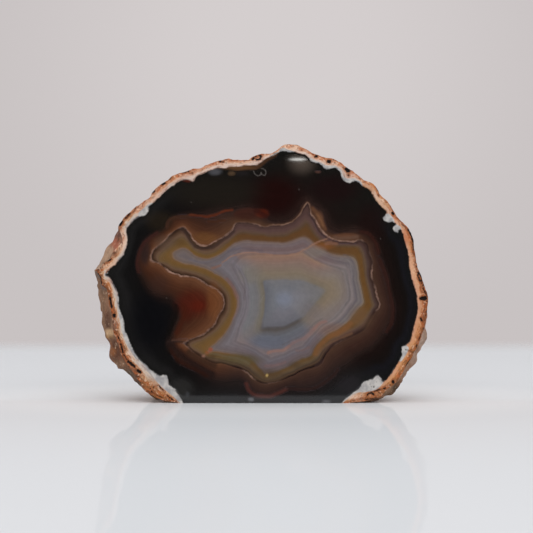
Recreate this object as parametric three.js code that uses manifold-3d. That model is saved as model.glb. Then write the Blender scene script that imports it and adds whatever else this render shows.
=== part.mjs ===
// A free-standing piece of banded agate: half of a rough nodule, sawn and polished across the front and sawn
// flat underneath, so that it stands with its polished face almost upright. It is one solid piece of stone.
// Millimetres, +Z up. The polished face looks along -Y. The origin is on the flat base, under the middle of
// the stone's bounding box.
import * as THREE from "three";
import { mergeVertices } from "three/addons/utils/BufferGeometryUtils.js";
import Module from "manifold-3d";

// Driving dimensions.
const FACE_WIDTH = 100;
const THICKNESS = 42;
const GIRTH_DEPTH = 10;
const LEAN = THREE.MathUtils.degToRad(2);
const VIEW_DISTANCE = 517;

// The two outlines are read off a picture of the face, in its pixels, x to the right and y down.
// The nodule's crust ends at FACE_EDGE where it was sawn, and it is widest at GIRTH_EDGE, further back.
// Both run on below BASE_LINE, where the flat base is cut away.
const PICTURE_CENTRE = [266.5, 266.5];
const BASE_LINE = 402.8;
const FACE_LEFT = 95;
const FACE_RIGHT = 428;
const FACE_EDGE = [
  [178, 402.3], [172, 401], [165, 400], [160, 398.3], [155, 396.6], [152.6, 394.4], [149.4, 393.6],
  [146, 391.4], [143.6, 388], [141.5, 384], [138, 378.5], [134, 372.5], [131, 369], [127, 363.5],
  [123.5, 358], [121, 352], [119.5, 346], [117.5, 340.5], [115.5, 336], [114, 331], [113.3, 325],
  [112.8, 319], [112, 313], [110.8, 308], [109.5, 303], [108.8, 298], [107.5, 290], [105, 287.5],
  [101.8, 284.5], [101, 279.5], [99.3, 275], [96.5, 271], [95.3, 269.8], [99.5, 268.5], [102, 265.3],
  [105, 262.5], [110.5, 258.5], [113.7, 252.1], [116.8, 248], [119.5, 245.3], [122, 242], [123.2, 239],
  [121.5, 235], [119.8, 231.5], [118.3, 228.5], [117.9, 225.8], [119.5, 223.3], [122, 219.8],
  [124.7, 216.6], [127.9, 213.5], [131, 210.6], [135.7, 206.5], [138.3, 205], [141.2, 202.7],
  [144.6, 199.9], [147.6, 198.8], [150.2, 196.2], [151.4, 192.8], [154, 190], [158.7, 185.4],
  [161.5, 183.1], [165, 181.3], [167.8, 180.2], [170, 177.3], [173.5, 175], [177, 173.5], [180.6, 172.4],
  [188.1, 170.3], [194.3, 168.1], [197.6, 168.2], [201.2, 167.4], [205.2, 165], [209.3, 163.5],
  [212.8, 162.2], [216.7, 160.7], [222.3, 159.7], [228.2, 157.9], [233, 159.4], [241, 159.4],
  [248.3, 159.5], [250, 157.9], [255.7, 154.7], [262, 153], [268, 153.4], [273.5, 152], [276, 150.2],
  [278.8, 147.9], [283, 144.4], [286, 143.9], [290, 143.8], [294.4, 143.9], [298, 144.5], [301, 146.3],
  [304.4, 147.8], [308, 149.5], [313.3, 152.9], [319, 154.8], [325.6, 157.4], [332, 157.9], [335, 158.9],
  [338.5, 160.9], [342, 162.4], [343.9, 164.4], [346.2, 166.5], [350.3, 169.1], [353.3, 170.4],
  [355.3, 172.8], [358.4, 175.3], [362, 177.7], [365, 180.2], [371, 182.1], [374.3, 184.2],
  [376.7, 187.2], [379.1, 190.6], [380, 193.9], [382.8, 196.9], [386.2, 199.4], [389, 202.8],
  [391.5, 206.8], [395.6, 213.9], [398, 217.4], [401, 220.4], [407.5, 226.7], [409.6, 230.2],
  [411.7, 234], [413.3, 238.7], [414, 243], [414.4, 248.5], [415.5, 254.5], [417, 265], [418.2, 269.5],
  [421.2, 274.5], [423, 281.9], [425.5, 289.5], [427.4, 293.8], [428, 302], [426.8, 310], [425, 321.5],
  [424, 327.5], [422, 333], [419, 341], [417.8, 345], [413, 353.3], [410.5, 358.3], [407.6, 362.8],
  [404.4, 367.6], [402, 372.7], [397, 380], [393.4, 383.7], [390, 386.7], [385.6, 389], [383.7, 392.3],
  [380, 396.3], [375, 398], [370, 399], [365.6, 400.5], [360, 401], [354.2, 401.9], [349, 402.3],
  [338, 405], [325, 411], [308, 417], [288, 421], [262, 423], [238, 421], [218, 417], [200, 411],
  [187, 405],
];
const GIRTH_EDGE = [
  [151, 391], [143.6, 388], [141, 386.7], [137, 385], [133.6, 381.6], [129.8, 377.2], [126.4, 373.2],
  [123.6, 369.8], [120.4, 368.4], [117.7, 368.6], [115.8, 365.6], [113.6, 363], [112, 359],
  [110.3, 354.5], [110, 349.2], [108.6, 344.5], [106.8, 339.8], [104.6, 335.5], [103.7, 331],
  [102.4, 326], [101.6, 320.7], [101, 315.4], [100.3, 311], [100.3, 305], [99.6, 299.8], [97.9, 294.5],
  [97, 289.7], [97.3, 282.8], [96.9, 278], [96, 274.4], [95, 271], [95.5, 268.6], [97.5, 264.6],
  [99.5, 260.5], [102.4, 254], [103.5, 250.5], [105.9, 247.2], [109.5, 243.7], [112.5, 240.8],
  [114.5, 236.5], [118, 228.5], [123, 222], [135, 211], [147, 202], [158, 191], [170, 181], [188, 174],
  [205, 169], [228, 164], [250, 163], [270, 158], [288, 150], [304, 153], [326, 162], [346, 171],
  [362, 182], [378, 198], [391, 213], [404, 232], [410, 250], [416, 272], [422, 290], [424.5, 302],
  [426.6, 314], [425.6, 319], [425.1, 326], [424.3, 338], [423, 343.6], [421.3, 348.1], [419.4, 351.6],
  [418.1, 356], [417, 360.5], [415, 363.8], [412, 366.8], [409.3, 370.7], [407, 375.6], [404.4, 379],
  [403.5, 383], [400.4, 386.1], [398.3, 389.6], [396.5, 393.1], [394.4, 395.2], [390, 395.6],
  [385.6, 396.8], [380, 398.6], [370.2, 399.2], [355, 405], [330, 417], [296, 427], [262, 430],
  [228, 427], [196, 417], [168, 404],
];

// The nodule's back is an oval dome. Its far point sits a little off the middle, as a natural lump's does.
const AXIS = [262, 285];
const BACK_RADII = [46, 39];
const BACK_OFFSET = [-3, -2];
const DOME_POWER = 0.78;

// How finely the solid is drawn.
const BAND_ROWS = 4;
const DOME_ROWS = 24;

// Lumps, ridges and pits of the crust, as heights and the sizes they repeat at. Together they are sunk a
// little, so that their tops and not their middles reach the outlines.
const LUMPS = { height: 2.1, size: 17, seed: 3 };
const KNOBS = { height: 1.2, size: 6.5, seed: 11 };
const RIDGES = { height: 0.9, size: 13, stretch: 2.6, seed: 23 };
const PITS = { depth: 2.0, size: 11, radius: 0.46, seed: 5 };
const SUNK = 1.4;
const RELIEF_FROM = 1;
const RELIEF_FULL = 15;
const CALM_BACK = 0.94;

const scale = FACE_WIDTH / (FACE_RIGHT - FACE_LEFT);
const viewHeight = (BASE_LINE - PICTURE_CENTRE[1]) * scale;
const viewSide = (PICTURE_CENTRE[0] - (FACE_LEFT + FACE_RIGHT) / 2) * scale;

// A point of the picture, as millimetres across and up the plane that lies this far behind the polished face.
function onPlane([px, py], depth) {
  const growth = (VIEW_DISTANCE + depth) / VIEW_DISTANCE;
  return new THREE.Vector2(
    viewSide + (px - PICTURE_CENTRE[0]) * scale * growth,
    viewHeight + (PICTURE_CENTRE[1] - py) * scale * growth
  );
}

// A closed outline through picture points.
function outline(points, depth) {
  return points.map((p) => onPlane(p, depth));
}

const axis = onPlane(AXIS, 0);

// An outline's distance from the axis in each direction, as a function of the angle round it.
function radiusByAngle(points) {
  const polar = points.map((p) => {
    const across = p.x - axis.x;
    const up = p.y - axis.y;
    return { angle: Math.atan2(up, across), radius: Math.hypot(across, up) };
  });
  polar.sort((a, b) => a.angle - b.angle);
  const first = polar[0];
  const last = polar[polar.length - 1];
  polar.unshift({ angle: last.angle - 2 * Math.PI, radius: last.radius });
  polar.push({ angle: first.angle + 2 * Math.PI, radius: first.radius });
  return (angle) => {
    const next = polar.findIndex((p) => p.angle >= angle);
    const b = polar[next];
    const a = polar[Math.max(next - 1, 0)];
    const share = b.angle > a.angle ? (angle - a.angle) / (b.angle - a.angle) : 0;
    return THREE.MathUtils.lerp(a.radius, b.radius, share);
  };
}

// A repeatable number from 0 to 1 for each corner of a grid.
function hash(i, j, k, seed) {
  const s = Math.sin(i * 127.1 + j * 311.7 + k * 74.7 + seed * 53.3) * 43758.5453;
  return s - Math.floor(s);
}

function ease(f) {
  return f * f * f * (f * (6 * f - 15) + 10);
}

// Smooth noise from -1 to 1.
function noise(p, seed) {
  const cell = [Math.floor(p.x), Math.floor(p.y), Math.floor(p.z)];
  const [u, v, w] = [p.x - cell[0], p.y - cell[1], p.z - cell[2]].map(ease);
  let sum = 0;
  for (let n = 0; n < 8; n++) {
    const [a, b, c] = [n & 1, (n >> 1) & 1, n >> 2];
    const weight = (a ? u : 1 - u) * (b ? v : 1 - v) * (c ? w : 1 - w);
    sum += weight * hash(cell[0] + a, cell[1] + b, cell[2] + c, seed);
  }
  return 2 * sum - 1;
}

// Distance to the nearest of the points scattered one to each cell.
function nearestPoint(p, seed) {
  const cell = [Math.floor(p.x), Math.floor(p.y), Math.floor(p.z)];
  let nearest = Infinity;
  for (let n = 0; n < 27; n++) {
    const c = [cell[0] + (n % 3) - 1, cell[1] + (Math.floor(n / 3) % 3) - 1, cell[2] + Math.floor(n / 9) - 1];
    const at = c.map((value, axisIndex) => value + hash(c[0], c[1], c[2], seed + axisIndex));
    nearest = Math.min(nearest, Math.hypot(p.x - at[0], p.y - at[1], p.z - at[2]));
  }
  return nearest;
}

// How far the crust stands out of the smooth nodule at a point. The small relief calms where rings draw
// together.
function relief(p, calm) {
  const lumps = LUMPS.height * noise(p.clone().divideScalar(LUMPS.size), LUMPS.seed);
  const knobs = KNOBS.height * noise(p.clone().divideScalar(KNOBS.size), KNOBS.seed);
  const along = new THREE.Vector3(p.x, p.y * RIDGES.stretch, p.z).divideScalar(RIDGES.size);
  const ridges = RIDGES.height * (1 - 2 * Math.abs(noise(along, RIDGES.seed)));
  const hollow = 1 - nearestPoint(p.clone().divideScalar(PITS.size), PITS.seed) / PITS.radius;
  const pits = PITS.depth * THREE.MathUtils.smoothstep(hollow, 0, 1);
  return lumps + calm * (knobs + ridges - pits) - SUNK;
}

// From across, depth behind the face and height along it, to the leaning stone's own place.
function place(across, depth, up) {
  const y = depth * Math.cos(LEAN) + up * Math.sin(LEAN) - THICKNESS / 2;
  const z = up * Math.cos(LEAN) - depth * Math.sin(LEAN);
  return new THREE.Vector3(across, y, z);
}

// The uncut nodule behind the polished face, as rings from the sawn edge to the back.
function nodule() {
  const edge = outline(FACE_EDGE, 0);
  const girth = radiusByAngle(outline(GIRTH_EDGE, GIRTH_DEPTH));
  const columns = edge.map((p) => {
    const angle = Math.atan2(p.y - axis.y, p.x - axis.x);
    const oval = 1 / Math.hypot(Math.cos(angle) / BACK_RADII[0], Math.sin(angle) / BACK_RADII[1]);
    return { angle, rim: Math.hypot(p.x - axis.x, p.y - axis.y), girth: girth(angle), oval };
  });
  const rings = [];
  for (let row = 0; row <= BAND_ROWS; row++) {
    const share = Math.sin((row / BAND_ROWS) * (Math.PI / 2));
    const depth = (row / BAND_ROWS) * GIRTH_DEPTH;
    rings.push(columns.map((c) => ringPoint(c, THREE.MathUtils.lerp(c.rim, c.girth, share), depth, 0)));
  }
  for (let row = 1; row < DOME_ROWS; row++) {
    const turn = (row / DOME_ROWS) * (Math.PI / 2);
    const back = Math.sin(turn);
    const depth = GIRTH_DEPTH + (THICKNESS - GIRTH_DEPTH) * back ** DOME_POWER;
    const shrink = Math.cos(turn) ** DOME_POWER;
    const radius = (c) => THREE.MathUtils.lerp(c.girth, c.oval, back) * shrink;
    rings.push(columns.map((c) => ringPoint(c, radius(c), depth, back)));
  }
  return rings;
}

// One point of a ring, with the crust's relief on it. The relief is nothing at the sawn edge.
function ringPoint(column, radius, depth, back) {
  const across = axis.x + BACK_OFFSET[0] * back + radius * Math.cos(column.angle);
  const up = axis.y + BACK_OFFSET[1] * back + radius * Math.sin(column.angle);
  const smooth = place(across, depth, up);
  const outward = new THREE.Vector3(
    Math.cos(column.angle) * (1 - back * back),
    back,
    Math.sin(column.angle) * (1 - back * back)
  ).normalize();
  const strength = THREE.MathUtils.smoothstep(depth, RELIEF_FROM, RELIEF_FULL);
  const calm = 1 - THREE.MathUtils.smoothstep(back, CALM_BACK, 1);
  return smooth.addScaledVector(outward, strength * relief(smooth, calm));
}

// A closed mesh from rings of points, with a flat cap over the first and a point behind the last.
function closedMesh(rings, capCentre, backPoint) {
  const count = rings[0].length;
  const points = [...rings.flat(), capCentre, backPoint];
  const cap = points.length - 2;
  const back = points.length - 1;
  const last = (rings.length - 1) * count;
  const faces = [];
  for (let i = 0; i < count; i++) {
    const next = (i + 1) % count;
    faces.push(cap, next, i);
    for (let row = 0; row < last; row += count) {
      faces.push(row + i, row + next, row + count + i);
      faces.push(row + next, row + count + next, row + count + i);
    }
    faces.push(last + i, last + next, back);
  }
  const geometry = new THREE.BufferGeometry().setFromPoints(points);
  geometry.setIndex(faces);
  return geometry;
}

const wasm = await Module();
wasm.setup();

function toSolid(geometry) {
  const bare = geometry.clone();
  bare.deleteAttribute("normal");
  bare.deleteAttribute("uv");
  const merged = mergeVertices(bare, 1e-4);
  return new wasm.Manifold(
    new wasm.Mesh({
      numProp: 3,
      vertProperties: new Float32Array(merged.attributes.position.array),
      triVerts: new Uint32Array(merged.index.array),
    })
  );
}

function toGeometry(solid) {
  const mesh = solid.getMesh();
  const geometry = new THREE.BufferGeometry();
  geometry.setAttribute("position", new THREE.BufferAttribute(new Float32Array(mesh.vertProperties), 3));
  geometry.setIndex(new THREE.BufferAttribute(new Uint32Array(mesh.triVerts), 1));
  const facets = geometry.toNonIndexed();
  facets.computeVertexNormals();
  facets.computeBoundingBox();
  return facets;
}

// The block below the stone that the saw takes away to leave the flat base.
function sawnOff() {
  const side = 2 * FACE_WIDTH;
  return new THREE.BoxGeometry(side, side, side).translate(0, 0, -side / 2);
}

function agate() {
  const rings = nodule();
  const farPoint = ringPoint({ angle: 0 }, 0, THICKNESS, 1);
  const whole = toSolid(closedMesh(rings, place(axis.x, 0, axis.y), farPoint));
  const form = toGeometry(whole.subtract(toSolid(sawnOff())));
  const middle = form.boundingBox.getCenter(new THREE.Vector3());
  form.translate(-middle.x, -middle.y, 0);
  const stone = new THREE.Mesh(
    form,
    new THREE.MeshStandardMaterial({ color: 0x3a2c28, roughness: 0.35, metalness: 0 })
  );
  stone.name = "agate";
  return stone;
}

const part = new THREE.Group();
part.add(agate());
export default part;
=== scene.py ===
# A polished agate standing on a pale table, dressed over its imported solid.
# Shapes are worked out in millimetres and turned into metres when the mesh is made.
import math

import bmesh
import bpy
import numpy as np
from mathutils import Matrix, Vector
from mathutils.geometry import delaunay_2d_cdt


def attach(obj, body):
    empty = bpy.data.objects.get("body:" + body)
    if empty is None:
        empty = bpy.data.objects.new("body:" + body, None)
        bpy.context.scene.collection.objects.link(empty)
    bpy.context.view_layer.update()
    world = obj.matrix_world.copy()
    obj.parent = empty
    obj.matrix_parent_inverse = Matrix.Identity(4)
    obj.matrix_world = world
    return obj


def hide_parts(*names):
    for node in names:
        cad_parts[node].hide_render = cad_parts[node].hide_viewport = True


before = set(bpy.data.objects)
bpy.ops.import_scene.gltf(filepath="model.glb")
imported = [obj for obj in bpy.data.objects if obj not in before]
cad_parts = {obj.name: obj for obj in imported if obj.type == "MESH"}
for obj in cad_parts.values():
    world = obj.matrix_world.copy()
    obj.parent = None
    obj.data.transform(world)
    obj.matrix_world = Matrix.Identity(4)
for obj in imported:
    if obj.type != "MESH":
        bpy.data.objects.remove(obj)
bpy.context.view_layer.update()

# Sizes of the stone, the same as its solid has, in millimetres.
FACE_WIDTH = 100
THICKNESS = 42
GIRTH_DEPTH = 10
LEAN = math.radians(2)
VIEW_DISTANCE = 517
BOX_MIDDLE = (-0.119, 0.782)

# The picture that the outlines are read off, in its pixels.
PICTURE_SIZE = 533
PICTURE_MIDDLE = 266.5
BASE_LINE = 402.8
FACE_LEFT = 95
FACE_RIGHT = 428
SCALE = FACE_WIDTH / (FACE_RIGHT - FACE_LEFT)
VIEW_HEIGHT = (BASE_LINE - PICTURE_MIDDLE) * SCALE
VIEW_SIDE = (PICTURE_MIDDLE - (FACE_LEFT + FACE_RIGHT) / 2) * SCALE

# How finely the stone is meshed.
COLUMNS = 580
BAND_ROWS = 22
DOME_ROWS = 62
GRID = 0.4
GRID_MARGIN = 0.62 * GRID
EDGE_ROUNDING = 0.22

# The nodule behind the face.
AXIS = (262, 285)
BACK_RADII = (46, 39)
BACK_OFFSET = (-3, -2)
DOME_POWER = 0.78

# The solid's relief, in millimetres. Lumps and knobs have a height, size and seed. Ridges have a height,
# size, how much shorter they are from front to back, and seed. Pits have a depth, spacing, radius as a
# share of it, and seed.
LUMPS = (2.1, 17, 3)
KNOBS = (1.2, 6.5, 11)
RIDGES = (0.9, 13, 2.6, 23)
PITS = (2.0, 11, 0.46, 5)
SUNK = 1.4
RELIEF_FROM = 1
RELIEF_FULL = 15
CALM_BACK = 0.94

# Roughness that the solid is too coarse to carry. Each layer of noise has its height, size and seed.
# Striations are given as ridges are, and holes as pits are.
GRAIN = ((0.3, 2.9, 41), (0.18, 1.4, 43), (0.08, 0.75, 47))
STRIATIONS = (0.16, 2.2, 2.4, 53)
HOLES = (0.75, 4.2, 0.34, 59)
RAGGED_EDGE = ((0.09, 0.9, 61), (0.05, 0.5, 67))
FINE_FROM = 0.2
FINE_FULL = 2.5
CUT_GRAIN = (0.07, 0.09, 1.1, 71)
CUT_PITS = 0.75
WORN_WIDTH = 0.9

# Waviness of the drawn lines, in the same layers, across and up.
WAVES_ACROSS = ((0.16, 2.3, 73), (0.07, 1.0, 79))
WAVES_UP = ((0.16, 2.3, 83), (0.07, 1.0, 89))

# Where the crust, the face and the base lie in the baked picture: corner and scale.
CRUST_UV = ((0.004, 0.64), (0.992, 0.356))
FACE_UV = ((0.42, 0.008), (0.008, 0.0079))
BASE_UV = ((0.85, 0.3), (0.0038, 0.0038))

# Edge of the polished face.
FACE_EDGE = [
    (178, 402.3), (172, 401), (165, 400), (160, 398.3), (155, 396.6), (152.6, 394.4), (149.4, 393.6),
    (146, 391.4), (143.6, 388), (141.5, 384), (138, 378.5), (134, 372.5), (131, 369), (127, 363.5),
    (123.5, 358), (121, 352), (119.5, 346), (117.5, 340.5), (115.5, 336), (114, 331), (113.3, 325),
    (112.8, 319), (112, 313), (110.8, 308), (109.5, 303), (108.8, 298), (107.5, 290), (105, 287.5),
    (101.8, 284.5), (101, 279.5), (99.3, 275), (96.5, 271), (95.3, 269.8), (99.5, 268.5), (102, 265.3),
    (105, 262.5), (110.5, 258.5), (113.7, 252.1), (116.8, 248), (119.5, 245.3), (122, 242), (123.2, 239),
    (121.5, 235), (119.8, 231.5), (118.3, 228.5), (117.9, 225.8), (119.5, 223.3), (122, 219.8),
    (124.7, 216.6), (127.9, 213.5), (131, 210.6), (135.7, 206.5), (138.3, 205), (141.2, 202.7),
    (144.6, 199.9), (147.6, 198.8), (150.2, 196.2), (151.4, 192.8), (154, 190), (158.7, 185.4),
    (161.5, 183.1), (165, 181.3), (167.8, 180.2), (170, 177.3), (173.5, 175), (177, 173.5), (180.6, 172.4),
    (188.1, 170.3), (194.3, 168.1), (197.6, 168.2), (201.2, 167.4), (205.2, 165), (209.3, 163.5),
    (212.8, 162.2), (216.7, 160.7), (222.3, 159.7), (228.2, 157.9), (233, 159.4), (241, 159.4),
    (248.3, 159.5), (250, 157.9), (255.7, 154.7), (262, 153), (268, 153.4), (273.5, 152), (276, 150.2),
    (278.8, 147.9), (283, 144.4), (286, 143.9), (290, 143.8), (294.4, 143.9), (298, 144.5), (301, 146.3),
    (304.4, 147.8), (308, 149.5), (313.3, 152.9), (319, 154.8), (325.6, 157.4), (332, 157.9), (335, 158.9),
    (338.5, 160.9), (342, 162.4), (343.9, 164.4), (346.2, 166.5), (350.3, 169.1), (353.3, 170.4),
    (355.3, 172.8), (358.4, 175.3), (362, 177.7), (365, 180.2), (371, 182.1), (374.3, 184.2),
    (376.7, 187.2), (379.1, 190.6), (380, 193.9), (382.8, 196.9), (386.2, 199.4), (389, 202.8),
    (391.5, 206.8), (395.6, 213.9), (398, 217.4), (401, 220.4), (407.5, 226.7), (409.6, 230.2),
    (411.7, 234), (413.3, 238.7), (414, 243), (414.4, 248.5), (415.5, 254.5), (417, 265), (418.2, 269.5),
    (421.2, 274.5), (423, 281.9), (425.5, 289.5), (427.4, 293.8), (428, 302), (426.8, 310), (425, 321.5),
    (424, 327.5), (422, 333), (419, 341), (417.8, 345), (413, 353.3), (410.5, 358.3), (407.6, 362.8),
    (404.4, 367.6), (402, 372.7), (397, 380), (393.4, 383.7), (390, 386.7), (385.6, 389), (383.7, 392.3),
    (380, 396.3), (375, 398), (370, 399), (365.6, 400.5), (360, 401), (354.2, 401.9), (349, 402.3),
    (338, 405), (325, 411), (308, 417), (288, 421), (262, 423), (238, 421), (218, 417), (200, 411),
    (187, 405),
]

# The nodule's widest outline, which shows past the face on the left and at the lower right.
GIRTH_EDGE = [
    (151, 391), (143.6, 388), (141, 386.7), (137, 385), (133.6, 381.6), (129.8, 377.2), (126.4, 373.2),
    (123.6, 369.8), (120.4, 368.4), (117.7, 368.6), (115.8, 365.6), (113.6, 363), (112, 359),
    (110.3, 354.5), (110, 349.2), (108.6, 344.5), (106.8, 339.8), (104.6, 335.5), (103.7, 331),
    (102.4, 326), (101.6, 320.7), (101, 315.4), (100.3, 311), (100.3, 305), (99.6, 299.8), (97.9, 294.5),
    (97, 289.7), (97.3, 282.8), (96.9, 278), (96, 274.4), (95, 271), (95.5, 268.6), (97.5, 264.6),
    (99.5, 260.5), (102.4, 254), (103.5, 250.5), (105.9, 247.2), (109.5, 243.7), (112.5, 240.8),
    (114.5, 236.5), (118, 228.5), (123, 222), (135, 211), (147, 202), (158, 191), (170, 181), (188, 174),
    (205, 169), (228, 164), (250, 163), (270, 158), (288, 150), (304, 153), (326, 162), (346, 171),
    (362, 182), (378, 198), (391, 213), (404, 232), (410, 250), (416, 272), (422, 290), (424.5, 302),
    (426.6, 314), (425.6, 319), (425.1, 326), (424.3, 338), (423, 343.6), (421.3, 348.1), (419.4, 351.6),
    (418.1, 356), (417, 360.5), (415, 363.8), (412, 366.8), (409.3, 370.7), (407, 375.6), (404.4, 379),
    (403.5, 383), (400.4, 386.1), (398.3, 389.6), (396.5, 393.1), (394.4, 395.2), (390, 395.6),
    (385.6, 396.8), (380, 398.6), (370.2, 399.2), (355, 405), (330, 417), (296, 427), (262, 430),
    (228, 427), (196, 417), (168, 404),
]

# Inner border of the pale crust, where the black agate begins.
CRUST_LINE = [
    (184.5, 402.6), (182.4, 399.4), (180.4, 395.8), (177.8, 392), (175.4, 388.6), (172.4, 386.3),
    (169.7, 384.6), (169.1, 381.2), (168.7, 377.6), (166.6, 375), (163.6, 374.6), (159.6, 375.4),
    (156.4, 373.6), (151.6, 370), (145.6, 364.6), (140.6, 359.2), (136.2, 354.2), (133, 349),
    (130.3, 342.6), (128.2, 336.4), (125, 330), (124.2, 325), (123.6, 320), (122.4, 315.4), (120.5, 311),
    (119.4, 306), (119, 301), (118.7, 296.2), (117.4, 291), (115.7, 287.2), (113.6, 283.1), (111.5, 279.5),
    (110.5, 277), (108, 275.2), (106.2, 274.8), (108.6, 270.5), (111, 267.8), (115.2, 265.1),
    (117, 262.6), (121, 258.7), (124.1, 254.9), (125.7, 250), (127.2, 245.2), (128, 241), (127.3, 235.2),
    (126.3, 231.6), (127.4, 227.8), (131.6, 223.6), (136, 219.2), (140.2, 216.6), (144.6, 215.5),
    (147.5, 212.9), (149, 210), (148.8, 207.8), (149.8, 205.8), (153.3, 202.9), (157, 199.4),
    (160.5, 196.6), (163.8, 192.9), (167, 190), (170.5, 187.6), (174.3, 185), (178.1, 181.9), (182, 180.4),
    (186, 180), (190, 180.6), (193, 182.4), (194.5, 180), (195.6, 177.3), (198, 175.2), (201.5, 173.8),
    (205, 172.5), (209, 171), (213, 169.6), (218, 168), (225, 168.4), (230, 166.8), (237, 166.5),
    (245, 165.8), (252, 165.2), (256, 165.5), (259.3, 164.4), (262, 162.4), (265, 159.6), (268.1, 157.4),
    (272, 155.2), (275.2, 152.8), (278.9, 151.8), (282, 151.1), (286, 151.6), (290, 152.4), (294, 151.8),
    (298.2, 153.1), (302.4, 154.3), (306, 155.5), (308.8, 158.1), (311.5, 161.1), (315.4, 162.5),
    (319.5, 163.1), (322, 165.5), (324.6, 168.1), (328, 168.8), (332, 168), (335.5, 167.7),
    (338.3, 169.5), (340.6, 172.5), (341.5, 176.7), (343.1, 179.6), (345.6, 182), (349, 182.7),
    (352.2, 181.9), (355.8, 180.8), (359, 182.3), (362, 185), (365.8, 188.2), (369.8, 190.9),
    (372.4, 195), (375, 199.8), (379, 204.4), (383, 208.1), (386, 211.2), (385.7, 214), (383.5, 216.5),
    (382.8, 218.5), (384.5, 221), (389.5, 222.7), (393.1, 221.6), (396.1, 224.4), (393.9, 226.4),
    (393, 229.3), (395, 232), (397.2, 233.2), (399, 230.4), (400.3, 229.5), (402, 233.1), (403.5, 238),
    (405.2, 243.3), (407, 248.5), (407.8, 253.4), (408.8, 260), (409.3, 267.1), (410, 272.9),
    (411, 278.3), (413.1, 283.8), (415, 289.5), (416.5, 295), (416.8, 301), (417.3, 306), (416.8, 311),
    (415.5, 317), (414.5, 322.6), (413.4, 328.1), (411.9, 333), (410.2, 338), (408, 342), (405.5, 344.5),
    (402.4, 345.8), (401, 347.8), (401, 351), (401.6, 354), (400.9, 356.8), (399, 360), (396.6, 364.2),
    (394, 367.8), (391.9, 371), (389.2, 375.6), (386.9, 378.7), (384.2, 380.4), (382, 381.2),
    (381, 378.4), (379.5, 375.8), (377, 374.6), (374.4, 375.7), (372.6, 378), (369.4, 379.6),
    (365.2, 380.9), (362.2, 383), (360.4, 386.1), (357.5, 388.8), (354, 391.5), (350.2, 394.6),
    (346.1, 397), (342.8, 400), (341, 402.5), (325, 407), (300, 412), (262, 414), (225, 412), (200, 407),
]

# Outer border of the brown agate.
BROWN_LINE = [
    (168, 222), (171, 218), (176, 216), (190, 214.5), (208, 214), (218, 211), (228, 210), (238, 209.5),
    (246, 208), (253, 208.5), (259, 212), (265, 216), (269, 221.5), (276, 222.5), (284, 221.8),
    (291, 219.5), (295.5, 215.5), (299, 210), (302.5, 204), (307.5, 200), (312, 204), (320, 210),
    (325, 218), (327.5, 227), (333, 231.5), (340, 234), (350, 231), (358, 229.5), (366, 231), (373, 236),
    (377, 242), (380, 255), (384, 265), (387, 276), (389, 286), (392, 297), (394, 305), (393, 314),
    (391, 322), (388, 328), (383, 336), (375, 345), (370, 349), (362, 353), (353, 359), (345, 364),
    (337, 369), (333, 374), (327, 379), (320, 384), (313, 387.5), (305, 389), (297, 388), (291, 387.5),
    (286, 390), (280, 393), (273, 396), (265, 397.5), (257, 396.5), (251, 392), (247, 387), (245, 382),
    (238, 380.5), (228, 381.5), (220, 381), (213, 378), (208, 375.5), (203, 373), (196, 369.5), (190, 367.5),
    (184, 365), (178, 360), (173, 354), (169.5, 347), (169.5, 340), (172, 332), (175, 325), (178, 318),
    (180, 312), (181, 307), (175, 302), (168, 299), (158, 297), (150, 290), (145, 283), (141, 275),
    (138, 268),
    (137, 260), (139, 250), (144, 241), (150, 235), (158, 232), (164, 228),
]

# The thin pale line that outlines the inner agate.
PALE_LINE = [
    (151.5, 261), (151, 256), (152, 251.5), (155.5, 247.5), (161, 243), (165.6, 239.4), (167.8, 235.8),
    (172.8, 231.7), (177.8, 228.3), (181, 226.7), (184, 226.7), (187.8, 230.6), (190.6, 234.4),
    (192.2, 239), (195.6, 242.8), (199.4, 245), (204.4, 245.9), (209, 245), (213.3, 242.3),
    (219, 239.4), (224.4, 236.1), (230, 231.8), (233.3, 227.8), (235.8, 223.5), (241, 222.7), (246, 222.6),
    (252, 223.3), (257.5, 224.5), (262, 226.5), (267, 226.8), (272, 224.8), (280, 224.5), (286.5, 223.4),
    (292, 221.8), (296, 218.4), (300, 213.2), (303, 207.8), (305.5, 204), (308, 202.1), (310, 206),
    (311, 213), (314.4, 218.3), (318.3, 224.9), (322.8, 231.1), (328.2, 236.7), (333.3, 239.4),
    (340, 240.7), (348, 241.1), (355, 241), (361.5, 239.2), (367.5, 244.8), (370, 252.8), (372.7, 261.5),
    (372.2, 268), (371.7, 276), (373.9, 284), (376.1, 291.6), (378.4, 299.4), (379.7, 304.5),
    (377.7, 309), (373.5, 312.7), (370.2, 318.6), (366.3, 324.6), (363.6, 329.2), (358.3, 333),
    (352, 335.8), (345.5, 338), (338.9, 342.1), (333.3, 345.6), (328.9, 350), (325.6, 355), (322.8, 360),
    (319, 364.8), (313.3, 367.1), (307.7, 368.4), (300, 371.6), (292, 375.6), (283, 379), (274.5, 381.7),
    (266.5, 383.7), (260, 382), (255, 379.1), (250, 375), (245, 371.3), (240, 368.6), (234.2, 366.9),
    (227.8, 364.5), (220.8, 363.2), (213.3, 362.4), (206, 358.6), (203.2, 357.9), (198.3, 355),
    (193.3, 351.7), (188, 347), (183.5, 343), (186, 341.6), (191.3, 338.9), (198.3, 336.4),
    (204.3, 334), (209.5, 329.3), (213.8, 325.5), (216, 321), (217, 318), (219.3, 314), (222.8, 309.8),
    (224.1, 304.3), (223.5, 298.5), (221, 294), (217.8, 290), (212.5, 286.9), (207.9, 284.8),
    (202.4, 281.6), (197.8, 278.9), (193.3, 277), (187.8, 276.2), (181.7, 276.3), (178, 274),
    (172.2, 272.8), (167.8, 270.6), (164.4, 267.2), (158, 262.7),
]

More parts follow.
